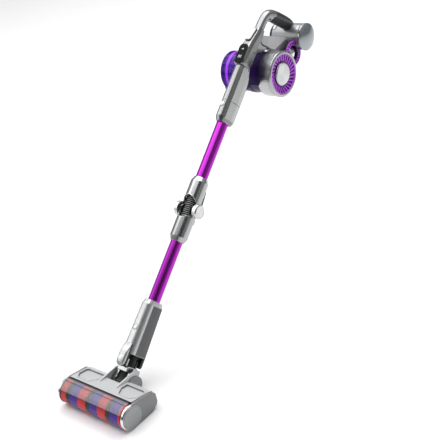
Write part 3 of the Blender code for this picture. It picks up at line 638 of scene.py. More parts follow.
def collar_ears(name, side, inner, outer, radius):
    ears = []
    start = 180 if side > 0 else 0
    outline = [
        (side * radius, side * 30), (-side * radius, side * 30),
        *arc((0, 0), radius, start, start + 180, 24),
    ]
    for hand in (1, -1):
        low, high = sorted((hand * inner, hand * outer))
        ear = slab(f"{name}_ear", WAND, ORIGIN, "x", outline, low, high)
        ears.append(
            combine(ear, [spun("ear_round", ORIGIN, "z", radius=COLLAR_R - 0.05, steps=120)], "INTERSECT")
        )
    return ears


def make_collars():
    wall = [(TUBE_FIT, 95), (19.6, 95), (COLLAR_R, 82), (COLLAR_R, 22), (19, 22), (19, 67), (TUBE_FIT, 67)]
    wall = soften(wall, (0.2, 0.9, 2.2, 0.6, 0.3, 0.3, 0.2), 4)
    upper = lathe("upper_collar_shell", WAND, ORIGIN, "z", wall, SILVER, steps=120)
    fuse(upper, *collar_ears("upper", 1, 20.8, 27, 14))
    carve(
        upper, spun("arch", (0, -30, 15), "y", radius=24, low=-28, high=28, steps=96),
        spun("pin", ORIGIN, "x"),
    )
    attach(upper, "wand_upper", "upper_collar")
    lower = lathe("lower_collar_shell", WAND, ORIGIN, "z", wall, SILVER, steps=120, flip=True)
    fuse(lower, *collar_ears("lower", -1, 16, 20.5, 15))
    window = slab(
        "slide_window", WAND, SLIDE_AT, "y",
        soften([(7.4, -8.4), (7.4, 9.4), (-7.4, 9.4), (-7.4, -8.4)], 1), -8.5, 3,
    )
    carve(
        lower, spun("arch", (0, -30, -6), "y", radius=22, low=-28, high=28, steps=96),
        spun("pin", ORIGIN, "x"), window,
    )
    attach(lower, "wand_lower", "lower_collar")
    for name, body, radius, centre, first, last in (
        ("upper_arch_bead", "wand_upper", 24, 15, 17, 163),
        ("lower_arch_bead", "wand_lower", 22, -6, -46.5, -133.5),
    ):
        edge = []
        for x, s in arc((0, centre), radius, first, last, 48):
            edge.append((x, -math.sqrt(COLLAR_R**2 - x * x) + 0.5, s))
        attach(wire(name, WAND, edge, 0.9, CHROME), body)


def make_knobs():
    face = [(0, 40.2), (6, 40.25), (15.6, 40.4), (16.4, 41), (17.6, 41), (KNOB_R, 38.2), (KNOB_R, 33)]
    face += [
        (KNOB_R - 0.7, 32.6), (KNOB_R - 0.7, 31.6), (KNOB_R, 31.2), (KNOB_R, 27.9), (20.4, 27.3), (5, 27.3),
        (5, 16.3), (0, 16.3),
    ]
    radii = [0, 0, 0.5, 0.4, 0.5, 1.5, 0.3, 0.2, 0.2, 0.3, 0.3, 0.3, 0.2, 0.3, 0]
    profile = soften(face, radii, 3)
    liner = [(15.5, 15.96), (14.4, 15.96), (8, 15.7), (8, 15.4), (15.5, 15.4)]
    for hand, side in SIDES:
        knob = lathe(f"knob_{side}_turned", WAND, ORIGIN, "x", profile, SPUN, flip=hand < 0)
        attach(knob, "wand_upper", f"knob_{side}")
        lining = lathe(f"hinge_liner_{side}", WAND, ORIGIN, "x", liner, BLACK, flip=hand < 0)
        attach(lining, "wand_lower")


def ribbed(name, frame_at, place, length, ribs, outer, inner, bore, core, rib):
    """A ribbed hose about z, centred on its place, with a lighter material on each rib's crest as a painted
    highlight.
    """
    pitch = length / ribs
    outside = [(inner, length / 2)]
    for k in range(ribs):
        middle = length / 2 - (k + 0.5) * pitch
        outside += [(inner, middle + 0.36 * pitch), *arc((inner, middle), outer - inner, 90, -90, 6)]
        if outer - inner > 0.36 * pitch:
            squeeze = 0.3 * pitch / (outer - inner)
            outside[-7:] = [(r, middle + (h - middle) * squeeze) for r, h in outside[-7:]]
        outside.append((inner, middle - 0.36 * pitch))
    outside.append((inner, -length / 2))
    hose = lathe(
        name, frame_at, place, "z", [*outside, (bore, -length / 2), (bore, length / 2)], core, steps=64,
        smooth=50,
    )
    hose.data.materials.append(rib)
    crest = (inner + 0.78 * (outer - inner)) * MM
    for face in hose.data.polygons:
        if math.hypot(face.center.x, face.center.y) > crest:
            face.material_index = 1
    return hose


def wand_point(x, t, s):
    return WAND @ (Vector((x, t, s)) * MM)


def bend_hose(piece, node):
    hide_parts(node)
    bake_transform(piece)


def make_wand_hose():
    hose = ribbed("fold_hose", WAND, ORIGIN, 110, 20, 15.1, 12.6, 11.2, HOSE_RUBBER, RIB_HIGHLIGHT)
    bend_hose(hose, "wand_hose")


def make_fold_catch():
    lever = soften([(-3, 3), (1.5, 4), (5, 0), (10, -40), (6, -42), (0, -3)], (1, 1, 2, 1.5, 1.5, 2), 4)
    body = slab("fold_lever_blade", WAND, (0, 29, 66), "x", lever, -7.8, 7.8, GUNMETAL, edge=1.2)
    grips = []
    for k in range(4):
        line = [(x, 36 + 0.4 * k, 42 - 4.2 * k) for x in (-6.4, 6.4)]
        across = wire("lever_grip", WAND, line, 0.9, RUBBER)
        across.location += WAND.to_3x3() @ Vector((0, 0.9 * MM, 0))
        grips.append(across)
    merge(body, *grips)
    attach(body, "fold_trigger", "fold_lever")
    teeth = [
        (-4.2, -8), (6, -7), (9.2, -3.6), (7.2, -1.2), (9.4, 0.8), (7.2, 2.8), (9.2, 5.4), (6, 9), (-4.2, 9)
    ]
    slide = slab(
        "fold_slide_button", WAND, SLIDE_AT, "x", soften(teeth, 0.9, 3), -6.9, 6.9, BLACK, edge=0.6
    )
    attach(slide, "fold_slide", "fold_button")


# Sockets

SOCKET_CORNERS = [
    (7.5, -30.8), (14.6, -21.5), (22, 5), (22, 24.8), (-22, 24.8), (-22, 5), (-14.6, -21.5), (-7.5, -30.8)
]
SOCKET_RADII = (9, 16, 6, 8, 8, 6, 16, 9)


def polar(outline, count):
    """The outline at even angles about its origin."""
    points = []
    for k in range(count):
        angle = 2 * math.pi * k / count
        ray = Vector((math.cos(angle), math.sin(angle)))
        reach = 0
        for a, b in zip(outline, outline[1:] + outline[:1]):
            a, b = Vector(a), Vector(b)
            side = b - a
            across = ray.x * side.y - ray.y * side.x
            if abs(across) < 1e-9:
                continue
            along = (a.x * side.y - a.y * side.x) / across
            share = (a.x * ray.y - a.y * ray.x) / across
            if along > 0 and -TINY <= share <= 1 + TINY:
                reach = max(reach, along)
        points.append((ray.x * reach, ray.y * reach))
    return points


SOCKET_RING = polar(soften(SOCKET_CORNERS, SOCKET_RADII, 6), 144)
NECK_CORNERS = [(11, -30.8), (17.2, -22), *SOCKET_CORNERS[2:6], (-17.2, -22), (-11, -30.8)]
NECK_RING = polar(soften(NECK_CORNERS, SOCKET_RADII, 6), 144)


def socket_sections(stations, ring=SOCKET_RING):
    """Sections at (s, scale) stations, or (s, scale, sideways, backwards) where the socket spreads."""
    made = []
    for s, k, *spread in stations:
        widen, deepen = spread or (1, 1)
        ahead = max(1, 0.5 + 0.5 * deepen)
        made.append([(x * k * widen, t * k * (deepen if t > 0 else ahead), s) for x, t in ring])
    return made


def round_sections(radius, heights, centre=0):
    made = []
    for s in heights:
        made.append([])
        for x, t in SOCKET_RING:
            angle = math.atan2(t, x)
            made[-1].append((radius * math.cos(angle), centre + radius * math.sin(angle), s))
    return made


def release_button(name, s, body, node):
    """A round white button in a socket's front, and the cutter for its hole."""
    dome = soften([(0, 9.4), (5.2, 9.6), (7.2, 8.2), (7.2, -2), (0, -2)], (0, 1.4, 1.4, 0.2, 0), 4)
    attach(lathe(name, WAND, (0, -24, s), "y", dome, WHITE, steps=64, flip=True), body, node)
    return spun("button_hole", (0, -24, s), "y", radius=8.1, low=-14, high=14)


def make_nozzle():
    stations = [(NOZZLE_END, 0.800), (NOZZLE_END + 0.5, 0.825), (275, 0.972), (277.2, 0.994), (280, 1)]
    stations += [(NOZZLE_SPLIT - 0.5, 1), (NOZZLE_SPLIT, 0.985)]
    sections = socket_sections(stations) + round_sections(TUBE_FIT, (NOZZLE_SPLIT, NOZZLE_END))
    socket = loft("nozzle_socket_shell", WAND, sections, SHADED_FRONT_SILVER, ring=True, smooth=28)
    carve(
        socket, release_button("nozzle_button_cap", NOZZLE_BUTTON, "nozzle_catch", "nozzle_release_button")
    )
    dress_faces(socket, PLANE_GREY, lambda c, n: abs(n.x) > 0.9 and c.y > -17 and c.z > NOZZLE_END + 12)
    attach(socket, "hand_unit", "nozzle_socket")


# Hand unit: spine, display, mode button


def make_spine():
    low = NOZZLE_SPLIT + 0.5
    stations = [(low, 0.985), (low + 0.5, 1), (366, 1), (384, 1, 1, 0.93), (400, 1, 1, 0.82)]
    stations += [(418, 1, 0.98, 0.66), (430, 0.99, 0.94, 0.50), (437, 0.96, 0.91, 0.40)]
    stations += [(441, 0.88, 0.90, 0.34), (443, 0.70, 0.90, 0.34)]
    body = loft("spine_body", WAND, socket_sections(stations), SHADED_FRONT_SILVER, smooth=30)
    carve(body, spun("air_bore", (0, 0, 380), "z", radius=15.9, low=-60, high=52))
    dress_faces(body, PLANE_GREY, lambda c, n: abs(n.x) > 0.9 and c.y > -17)
    attach(body, "hand_unit", "spine_shell")

    housing = []
    for s, half, front, back, corner in (
        (436.5, 15.5, -27, 16, 6),
        (438.5, 18.2, -30.4, 16, 7),
        (442, 19.4, -32.8, 15, 7),
        (447, 19.8, -34, 13, 7),
        (458, 19.8, -34.2, 8.6, 7),
        (488, 19.6, -34, 8.2, 7),
        (496, 18.6, -32.6, 8.2, 7),
        (504, 17, -30, 8.2, 6.5),
        (512, 16.2, -27.4, 8.2, 6),
        (530, 15.8, -22.6, 12.5, 6),
        (548, 14.8, -17.8, 14, 6),
        (566, 12.4, -12.4, 14.2, 6),
    ):
        corners = [
            (half - 3, front), (half, front + 14), (half, back), (-half, back), (-half, front + 14),
            (3 - half, front),
        ]
        ring = soften(corners, (corner, 12, 4, 4, 12, corner), 5)
        centre = (front + back) / 2
        shifted = polar([(x, t - centre) for x, t in ring], 128)
        housing.append([(x, t + centre, s) for x, t in shifted])
    upper = loft("display_housing", WAND, housing, SHADED_FRONT_SILVER, smooth=34)
    pocket = slab("display_pocket", WAND, DISPLAY_AT, "y", lozenge(14.9, 31, 12.2), -6, 3.6)
    slot = slab("mode_slot", WAND, MODE_AT, "y", lozenge(9.9, 23, 5), -12, 9, turn=MODE_TILT)
    carve(upper, pocket, slot)
    bed = slab("mode_slot_bed", WAND, MODE_AT, "y", lozenge(9.8, 22.9, 5), -1.6, 8.8, BLACK, turn=MODE_TILT)
    window = slab("bed_hole", WAND, MODE_AT, "y", lozenge(8.3, 21.4, 4.4), -14, 7, turn=MODE_TILT)
    attach(carve(bed, window), "hand_unit")
    attach(upper, "hand_unit")


def lozenge(wide, high, radius, steps=6):
    """A rectangle of half sizes wide and high with round corners."""
    return soften([(wide, high), (-wide, high), (-wide, -high), (wide, -high)], radius, steps)


def make_branch():
    """The flare that runs from the front bar to the bridge."""
    outline = [(2, 488), (8.2, 486), (16, 495), (37, 512), (46, 524), (46, 534.6), (30, 529.4)]
    outline += [(18, 528.2), (11, 534), (7.6, 545), (6.4, 565.8), (2, 565.8)]
    radii = (0, 2, 6, 8, 3, 2, 8, 7, 8, 8, 0, 0)
    flare = slab(
        "spine_flare", WAND, ORIGIN, "x", soften(outline, radii, 5), -13.8, 13.8, SHADED_HANDLE_SILVER, edge=2.4,
        steps=4,
    )
    # The lip's underside takes the darker side grey: painted shade under the lip.
    dress_faces(flare, SIDE_GREY, lambda c, n: n.z < -0.2 and c.y > 12)
    attach(flare, "hand_unit")


def segment_digit(lit, left, bottom, high):
    """Bars of a seven-part digit, as (x, s, half length, upright) places."""
    wide = high * 0.5
    places = {
        "top": (left + wide / 2, bottom + high, False),
        "middle": (left + wide / 2, bottom + high / 2, False),
        "bottom": (left + wide / 2, bottom, False),
        "high_left": (left, bottom + high * 0.75, True),
        "high_right": (left + wide, bottom + high * 0.75, True),
        "low_left": (left, bottom + high * 0.25, True),
        "low_right": (left + wide, bottom + high * 0.25, True),
    }
    return [(*places[name], high * 0.19) for name in lit]


def make_display():
    glass = lozenge(14.6, 30.6, 11.8, 8)
    panel = slab("display_window", WAND, DISPLAY_AT, "y", glass, -0.6, 3.4, GLOSS_BLACK, edge=0.8)
    attach(panel, "hand_unit", "display_panel")
    whole = ("top", "middle", "bottom", "high_left", "high_right", "low_left", "low_right")
    bars = segment_digit(whole, -5.4, -15, 7)
    bars += segment_digit([n for n in whole if n != "middle"], 0.8, -15, 7)
    marks = []
    for x, s, upright, reach in bars:
        bar = lozenge(*((0.4, reach) if upright else (reach, 0.4)), 0.4, 2)
        marks.append(slab("digit_bar", WAND, (x, -34.72, 470 + s), "y", bar, 0, 0.15, LIT))
    for k in range(4):
        mark = lozenge(0.4, 0.8 + 0.6 * k, 0.3, 2)
        place = (-2.4 + 1.6 * k, -34.72, 481 + 0.6 * k)
        marks.append(slab("level_bar", WAND, place, "y", mark, 0, 0.15, LIT))
    first, *rest = marks
    first.name = "display_marks"
    merge(first, *rest)
    attach(first, "hand_unit")
    button = slab(
        "mode_button_cap", WAND, MODE_AT, "y", lozenge(7.9, 20.9, 4.2), -4.8, 5, WHITE, edge=1.6, steps=4,
        turn=MODE_TILT,
    )
    attach(button, "mode_key", "mode_button")


# Handle

HANDLE_KNOTS = [
    (1, 566.4, 12.4, 12.8),
    (1.6, 582, 12.4, 12.4),
    (3.2, 598, 12.6, 12.4),
    (7.5, 611.5, 13.2, 13.6),
    (16.5, 621.5, 14.2, 15.6),
    (30, 627.5, 15.2, 17.6),
    (48, 632.8, 16, 18.4),
    (68, 638.4, 16.6, 18.6),
    (88, 643.6, 16.6, 18.4),
    (106, 648, 16.2, 17.6),
    (118, 650.8, 15.2, 16),
    (127, 652.6, 13, 13),
]
PAD_SPAN = (22, 116)
PAD_DROP = 3
PAD_END = 3.5
HANDLE_POINTS = 56
ROUNDNESS = 2.5


def spline_points(knots, per_span):
    points = []
    padded = [knots[0], *knots, knots[-1]]
    for a, b, c, d in zip(padded, padded[1:], padded[2:], padded[3:]):
        for k in range(per_span):
            u = k / per_span
            points.append(tuple(catmull(*four, u) for four in zip(a, b, c, d)))
    points.append(knots[-1])
    return points


def catmull(p, q, r, s, u):
    return 0.5 * (
        2 * q + (r - p) * u + (2 * p - 5 * q + 4 * r - s) * u * u + (3 * q - p - 3 * r + s) * u**3
    )


def squircle(half_wide, half_high):
    points = []
    for k in range(HANDLE_POINTS):
        angle = 2 * math.pi * k / HANDLE_POINTS
        c, s = math.cos(angle), math.sin(angle)
        wide, high = abs(c) ** (2 / ROUNDNESS) * half_wide, abs(s) ** (2 / ROUNDNESS) * half_high
        points.append((math.copysign(wide, c), math.copysign(high, s)))
    return points


def handle_sections(shape):
    """Sections square to the handle's line; shape(t, x, n) gives the moved (x, n) of each point."""
    path = spline_points(HANDLE_KNOTS, 6)
    sections = []
    for k, (t, s, wide, high) in enumerate(path):
        before, after = path[max(0, k - 1)], path[min(len(path) - 1, k + 1)]
        along = Vector((after[0] - before[0], after[1] - before[1])).normalized()
        out = Vector((-along.y, along.x))
        ring = []
        for x, n in squircle(wide, high):
            x, n = shape(t, x, n)
            ring.append((x, t + out.x * n, s + out.y * n))
        sections.append(ring)
    return sections


def pad_share(t):
    """0 off the rubber pad, 1 on it, with short ramps at its ends."""
    low, high = PAD_SPAN
    return max(0, min(1, (t - low) / 5, (high - t) / 5))


def make_handle():
    def shell_shape(t, x, n):
        floor = -PAD_DROP - (1 - pad_share(t)) * 16
        return x, max(n, floor)

    def pad_shape(t, x, n):
        if n > -PAD_DROP - 0.3:
            return x * 0.965, -PAD_DROP - 0.3
        waves = 0.45 * math.cos(2 * math.pi * (t - PAD_SPAN[0]) / 16)
        return x * 0.975, n * 0.985 + waves * (abs(n) / 18)

    handle = loft("handle_skin", WAND, handle_sections(shell_shape), SHADED_HANDLE_SILVER, smooth=38)
    carve(handle, spun("battery_clear", (0, *BATTERY), "x", radius=BATTERY_R + 0.25, steps=96))
    # The grip behind the bend takes gunmetal: painted shade for the darker reflection along the grip.
    dress_faces(handle, GUNMETAL, lambda c, n: c.y > 34)
    attach(handle, "hand_unit", "handle_shell")
    low, high = PAD_SPAN[0] + PAD_END, PAD_SPAN[1] - PAD_END
    path = spline_points(HANDLE_KNOTS, 6)
    inside = [ring for ring, knot in zip(handle_sections(pad_shape), path) if low < knot[0] < high]
    pad = loft("grip_rubber", WAND, inside, RUBBER, smooth=50)
    attach(pad, "hand_unit", "grip_pad")


# Hand unit: cyclone, dust cup


def make_cyclone():
    centre = (0, *DRUM)
    drum = [
        (29, 17), (54, 17), (CUP_R, 14), (CUP_R, -20.6), (CUP_R - 4, -20.9), (CUP_R - 4, 5.6), (29, 5.6)
    ]
    body = lathe(
        "cyclone_drum", WAND, centre, "x", soften(drum, (0.5, 2, 3, 0.6, 0.4, 1, 0.5), 4), VIOLET_DARK,
        steps=120,
    )
    neck = [(8.4, 424), (8.4, 480), (17, 492), (40, 509.6), (47, 521.6), (66, 522), (66, 420)]
    plate = slab(
        "cyclone_neck", WAND, ORIGIN, "x", soften(neck, (2, 6, 6, 6, 3, 3, 3), 4), -17, 17, VIOLET_DARK,
        edge=2,
    )
    carve(plate, spun("drum_clear", centre, "x", radius=50, steps=96))
    edge = [(18, 372), (11.4, 400), (6.4, 425), (3.4, 440), (6.2, 462), (9.2, 484), (16.4, 495)]
    edge += [(37, 512), (46, 521), (66, 524), (66, 420), (34, 404), (24, 388)]
    outline = soften(edge, (2, 8, 8, 8, 8, 8, 8, 6, 4, 3, 3, 8, 4), 4)
    saddle = slab("cyclone_saddle", WAND, ORIGIN, "x", outline, -21, 21.6, VIOLET_DARK, edge=2.2, steps=4)
    merge(body, plate, saddle)
    attach(body, "hand_unit", "cyclone_housing")
    ring = [
        (54, 17.2), (60, 17.2), (61, 16.4), (61, 12.6), (CUP_R + 0.3, 12.2), (CUP_R + 0.3, 15), (54, 17)
    ]
    attach(lathe("drum_joint_ring", WAND, centre, "x", ring, BLACK, steps=120), "hand_unit")


def make_shroud():
    place = (-22, *DRUM)
    wall = [(34, 0), (34, -4), (33, -5), (33, -58), (34, -59), (34, -66), (31, -69), (9, -84), (7, -84)]
    wall += [(29, -66), (31, -63), (31, 0)]
    shroud = lathe("cyclone_screen", WAND, place, "x", wall, SCREEN, steps=72)
    ribs = fins(
        "screen_ribs", WAND, place, "x", 12, (33, -58, -5), (35.4, -58, -5), 1.6, 0, look=VIOLET_DEEP
    )
    vanes = fins(
        "swirl_vanes", WAND, place, "x", 18, (34.5, -14, -4), (52, -10, -4), 1.4, 14, look=VIOLET_DEEP
    )
    merge(shroud, ribs, vanes)
    attach(shroud, "hand_unit", "mesh_shroud")


def make_cup_collar():
    centre = (0, *DRUM)
    wall = [
        (CUP_R + 1.4, -21.6), (CUP_R + 1.4, -29), (CUP_R + 0.6, -29.4), (CUP_R + 0.6, -36.6),
        (CUP_R - 4.6, -37), (CUP_R - 4.6, -21.6),
    ]
    ring = lathe("cup_collar_ring", WAND, centre, "x", soften(wall, 0.4, 2), BLACK, steps=120)
    lugs = fins(
        "collar_lugs", WAND, centre, "x", 24, (CUP_R, -36, -30.2), (CUP_R + 1.3, -36, -30.2), 5, 0,
        look=BLACK,
    )
    merge(ring, lugs)
    attach(ring, "hand_unit", "cup_collar")


def make_dust_cup():
    centre = (0, *DRUM)
    wall = [
        (CUP_R, -37.4), (CUP_R, -44), (CUP_R - 0.5, -45), (CUP_R - 0.5, -106), (CUP_R, -107), (CUP_R, -114),
        (CUP_R - 2.6, -114), (CUP_R - 2.6, -37.4),
    ]
    cup = lathe("dust_cup_wall", WAND, centre, "x", soften(wall, 0.4, 2), VIOLET_CLEAR, steps=128)
    attach(cup, "dust_bin", "dust_cup")
    # A bright violet band round the wall: a painted highlight where the cup catches the light.
    band = [(CUP_R + 0.1, -96.5), (CUP_R + 0.1, -105.8), (CUP_R - 0.9, -105.8), (CUP_R - 0.9, -96.5)]
    attach(
        lathe("cup_painted_highlight_band", WAND, centre, "x", band, VIOLET_BRIGHT, steps=128), "dust_bin",
    )

    hinge = (-119, DRUM[0], DRUM[1] + CUP_R + 4)
    drop = (-119, *DRUM)
    dome = [
        (0, -2.6), (14, -2.6), (15, -4.6), (16.4, -4.6), (17.4, -2.2), (30, -1.4), (31, -0.6), (47, -1.6),
        (52, -3.4),
    ]
    dome += [
        (56.4, -4.7), (CUP_R + 1.2, -3.6), (CUP_R + 1.4, 0), (CUP_R + 1.4, 4.3), (CUP_R - 2.8, 4.5),
        (CUP_R - 3.2, 1.6), (0, 0.6),
    ]
    lid = lathe(
        "cup_lid_dome", WAND, drop, "x", soften(dome, 0.7, 3, closed=False), VIOLET_CLEAR, steps=128
    )
    boss = lathe(
        "lid_boss", WAND, drop, "x",
        soften([(0, -7.4), (11, -7.4), (13.6, -5), (13.6, -2.8), (0, -2.8)], 0.8, 3, closed=False),
        VIOLET_DEEP,
    )
    # A bright violet ring on the lid: a painted highlight where the curved face catches the light.
    band = lathe(
        "lid_painted_highlight_band", WAND, drop, "x",
        [(33, -1.2), (46, -2.2), (51, -3.8), (54.5, -5), (55, -4.7), (51, -3.1), (46, -1.3), (33, -0.7)],
        VIOLET_BRIGHT, steps=128,
    )
    knuckle = lathe(
        "lid_knuckle", WAND, hinge, "y",
        soften([(0, 11), (3.9, 11), (3.9, -11), (0, -11)], 0.6, 3, closed=False), VIOLET_DEEP, steps=40,
    )
    merge(lid, boss, band, knuckle)
    attach(lid, "bin_lid", "cup_lid")
    latch = [(-9, -4), (0, -7.5), (38, -7.5), (40, -3), (38, 0), (4, 0), (-6.5, 0.4), (-9, 0.4)]
    foot = (-112, DRUM[0], DRUM[1] - CUP_R - 2.2)
    catch = slab(
        "lid_catch_bar", WAND, foot, "y", soften(latch, (0.5, 2, 2, 1, 1, 0.5, 0.5, 0.5), 4), -8.8, 8.8,
        VIOLET_BRIGHT, edge=0.9,
    )
    attach(catch, "bin_catch", "lid_latch")


# Hand unit: motor and filter


def make_motor():
    centre = (0, *DRUM)
    can = [
        (MOTOR_R, 57.6), (MOTOR_R, 50.6), (MOTOR_R - 0.5, 50.3), (MOTOR_R - 0.5, 49.5), (MOTOR_R, 49.2),
        (MOTOR_R, 18.6), (64.8, 17.4), (31, 17.4),
    ]
    can += [(31, 20.4), (MOTOR_R - 3, 20.4), (MOTOR_R - 3, 57.6)]
    body = lathe(
        "motor_can", WAND, centre, "x",
        soften(can, (0.3, 0.2, 0.2, 0.2, 0.2, 0.8, 0.8, 0.3, 0.5, 0.5, 0.3), 2), BRUSHED, steps=144,
    )
    attach(body, "hand_unit", "motor_housing")
    rim = [
        (57.5, 66), (59, 66.6), (62.6, 66.4), (MOTOR_R + 0.6, 64), (MOTOR_R + 1.1, 62.6),
        (MOTOR_R + 1.1, 60.6), (MOTOR_R + 0.2, 60.2), (MOTOR_R - 0.4, 59.4), (MOTOR_R - 0.4, 58),
        (57.5, 58),
    ]
    edge = lathe(
        "motor_rim_ring", WAND, centre, "x",
        soften(rim, (0.5, 0.6, 1.6, 1, 0.6, 0.4, 0.3, 0.3, 0.2, 0.2), 4), SILVER, steps=144,
    )
    attach(edge, "hand_unit", "motor_rim")


def make_filter_cap():
    centre = (0, *DRUM)
    bed = [
        (57.2, 58.3), (57.2, 64.2), (56.6, 64.8), (55.8, 64.8), (55.2, 63.2), (46, 60.4), (35.4, 59.2),
        (34.6, 60),
    ]
    bed += [(34.6, 62), (33.4, 62), (33.4, 58.3)]
    # The bed and inner hoop take the dark fin violet: painted shade between the blades.
    ring = lathe("filter_ring_bed", WAND, centre, "x", bed, FIN_SHADE, steps=120)
    blades = fins("filter_blades", WAND, centre, "x", 28, (37, 58.6, 60.2), (55.8, 61, 64.9), 4, 9)
    hoop = soften([(57, 64), (57, 65.4), (55, 65.4), (55, 63.4)], 0.4, 3)
    outer = lathe("filter_hoop", WAND, centre, "x", hoop, FIN_VIOLET, steps=120)
    lip = soften([(35.6, 60), (35.6, 62.4), (34, 62.4), (34, 60)], 0.4, 3)
    inner = lathe("filter_inner_hoop", WAND, centre, "x", lip, FIN_SHADE, steps=96)
    merge(ring, blades, outer, inner)
    attach(ring, "filter_cap", "filter_ring")
    knob = [
        (0, 65.2), (27, 65.6), (30.2, 65.4), (31.8, 63.8), (31.8, 62.6), (33, 62.2), (33, 57.8), (0, 57.8)
    ]
    profile = soften(knob, (0, 2, 1, 0.6, 0.2, 0.3, 0.3, 0), 4)
    disc = lathe("filter_knob_disc", WAND, centre, "x", profile, SPUN, steps=120)
    attach(disc, "filter_cap", "filter_knob")


# Hand unit: bridge, exhaust, battery


def make_bridge():
    under = arc(DRUM, MOTOR_R + 2.2, 124, 62, 24)
    outline = [(5, 549), (6, 540), (20.5, 530), (47, 534), *under, (150, 560), (126, 598), (104, 601)]
    shell = slab("bridge_skin", WAND, ORIGIN, "x", outline, -19.4, 19.4, PLANE_GREY, edge=2.2, steps=4)
    wedge = [(11, 4), (30, 4), (30, 36), (19.7, 36)]
    sides = []
    for hand in (1, -1):
        taper = [(hand * x, t) for x, t in wedge]
        sides.append(slab("bridge_taper", WAND, ORIGIN, "z", taper, 520, 615))
    carve(
        shell,
        spun("exhaust_clear", (0, *EXHAUST), "x", radius=EXHAUST_R + 0.25, steps=96),
        spun("battery_clear", (0, *BATTERY), "x", radius=BATTERY_R + 0.25, steps=96),
        *sides,
    )
    panel = [*arc(DRUM, MOTOR_R + 3, 108, 64, 14), (146, 561), (125, 596), (106, 598.4)]
    for hand in (1, -1):
        low, high = sorted((hand * 18.6, hand * 20.2))
        side = slab("bridge_side", WAND, ORIGIN, "x", panel, low, high, SIDE_GREY, edge=0.6)
        merge(shell, side)
    attach(shell, "hand_unit", "bridge_shell")


def make_exhaust():
    centre = (0, *EXHAUST)
    barrel = [(EXHAUST_R, 30.6), (EXHAUST_R, -30.6), (24, -30.9), (24, 30.9)]
    tube = lathe("exhaust_barrel", WAND, centre, "x", soften(barrel, 0.6, 3), GUNMETAL, steps=120)
    attach(tube, "hand_unit", "exhaust_housing")
    for hand, side in SIDES:
        bed = [
            (EXHAUST_R + 1.4, 30.9), (EXHAUST_R + 1.4, 32.6), (33.6, 34.4), (25, 33.4), (23.6, 32.4),
            (23.6, 30.9),
        ]
        # The bed takes the dark fin violet: painted shade between the blades.
        ring = lathe(f"exhaust_ring_{side}_bed", WAND, centre, "x", bed, FIN_SHADE, steps=96, flip=hand < 0)
        blades = fins(
            "exhaust_blades", WAND, centre, "x", 22, (24.4, 31.6, 34.4), (35.6, 32.2, 35.8), 3.8, 12,
            flip=hand < 0,
        )
        hoop = soften([(37.4, 30.9), (37.4, 34.8), (36, 36), (34.8, 34.8)], 0.5, 3)
        outer = lathe("exhaust_hoop", WAND, centre, "x", hoop, FIN_VIOLET, steps=96, flip=hand < 0)
        merge(ring, blades, outer)
        attach(ring, "hand_unit", f"exhaust_ring_{side}")
    cone = [(0, 35.4), (4, 35.2), (9, 33.8), (14, 31), (18, 27.4), (21.4, 22.6), (23.6, 16)]
    profile = [*cone, *[(r, -h) for r, h in reversed(cone)]]
    core = lathe("exhaust_cone", WAND, centre, "x", profile, CHROME, steps=96, smooth=60)
    attach(core, "hand_unit", "exhaust_core")


def tab_place(hand):
    """Where a release tab sits at the battery's front."""
    return (hand * 42, BATTERY[0] - 34, BATTERY[1] + 6)


def make_battery():
    centre = (0, *BATTERY)
    shell = [
        (BATTERY_R, 53.8), (BATTERY_R, 49), (BATTERY_R - 0.5, 48.7), (BATTERY_R - 0.5, 48.1),
        (BATTERY_R, 47.8),
    ]
    shell += [(BATTERY_R, -47.4), (PACK_R + 0.3, -47.7), (PACK_R + 0.3, 54)]
    radii = (0.8, 0.2, 0.2, 0.2, 0.2, 0.8, 0.3, 0.3)
    body = lathe("battery_barrel", WAND, centre, "x", soften(shell, radii, 3), SATIN, steps=120)
    pocket = lozenge_ts(-12, 5.2, 7.6, 0)
    pockets = [slab("release_pocket", WAND, tab_place(hand), "x", pocket, -4.6, 4.6) for hand in (1, -1)]
    carve(
        body,
        spun("exhaust_clear", (0, *EXHAUST), "x", radius=EXHAUST_R + 0.25, low=-39, high=39, steps=96),
        *pockets,
    )
    hoop = soften([(39.2, 49.6), (40.2, 49.8), (40.4, 53), (39.2, 54)], 0.4, 3)
    merge(body, lathe("battery_hoop", WAND, centre, "x", hoop, SILVER, steps=128))
    attach(body, "hand_unit", "battery_housing")
    cap = [
        (0, 65.8), (12, 65), (24, 62.4), (33, 58.9), (38.4, 56), (40.2, 55.1), (40.4, 54.7), (40, 54.3),
        (0, 54.3),
    ]
    profile = soften(cap, (0, 0, 0, 3, 2, 0.6, 0.2, 0.2, 0), 4)
    dome = lathe("battery_cap_dome", WAND, centre, "x", profile, CAP_REFLECTION_GREY, steps=128, smooth=50)
    attach(dome, "hand_unit", "battery_cap")
    pack = [(0, 44), (PACK_R - 0.3, 44), (PACK_R - 0.3, -48.1), (38.6, -48.1), (38.6, -54.2), (36.4, -56.2)]
    pack += [(20, -56.4), (19.4, -55.9), (0, -56)]
    profile = soften(pack, (0, 0.8, 0.2, 0.4, 1.2, 0.6, 0.3, 0.2, 0), 3)
    attach(
        lathe("battery_pack_body", WAND, centre, "x", profile, BLACK, steps=96), "battery", "battery_pack",
    )
    for hand, side in SIDES:
        tab = slab(
            f"battery_tab_{side}", WAND, tab_place(hand), "x", lozenge_ts(-7.2, 2.2, 7.2, 1.6), -4.2, 4.2,
            WHITE, edge=1,
        )
        attach(tab, f"battery_catch_{side}", f"battery_release_{side}")


def lozenge_ts(low, high, half, radius):
    return soften([(high, half), (low, half), (low, -half), (high, -half)], radius, 4)


# Neck


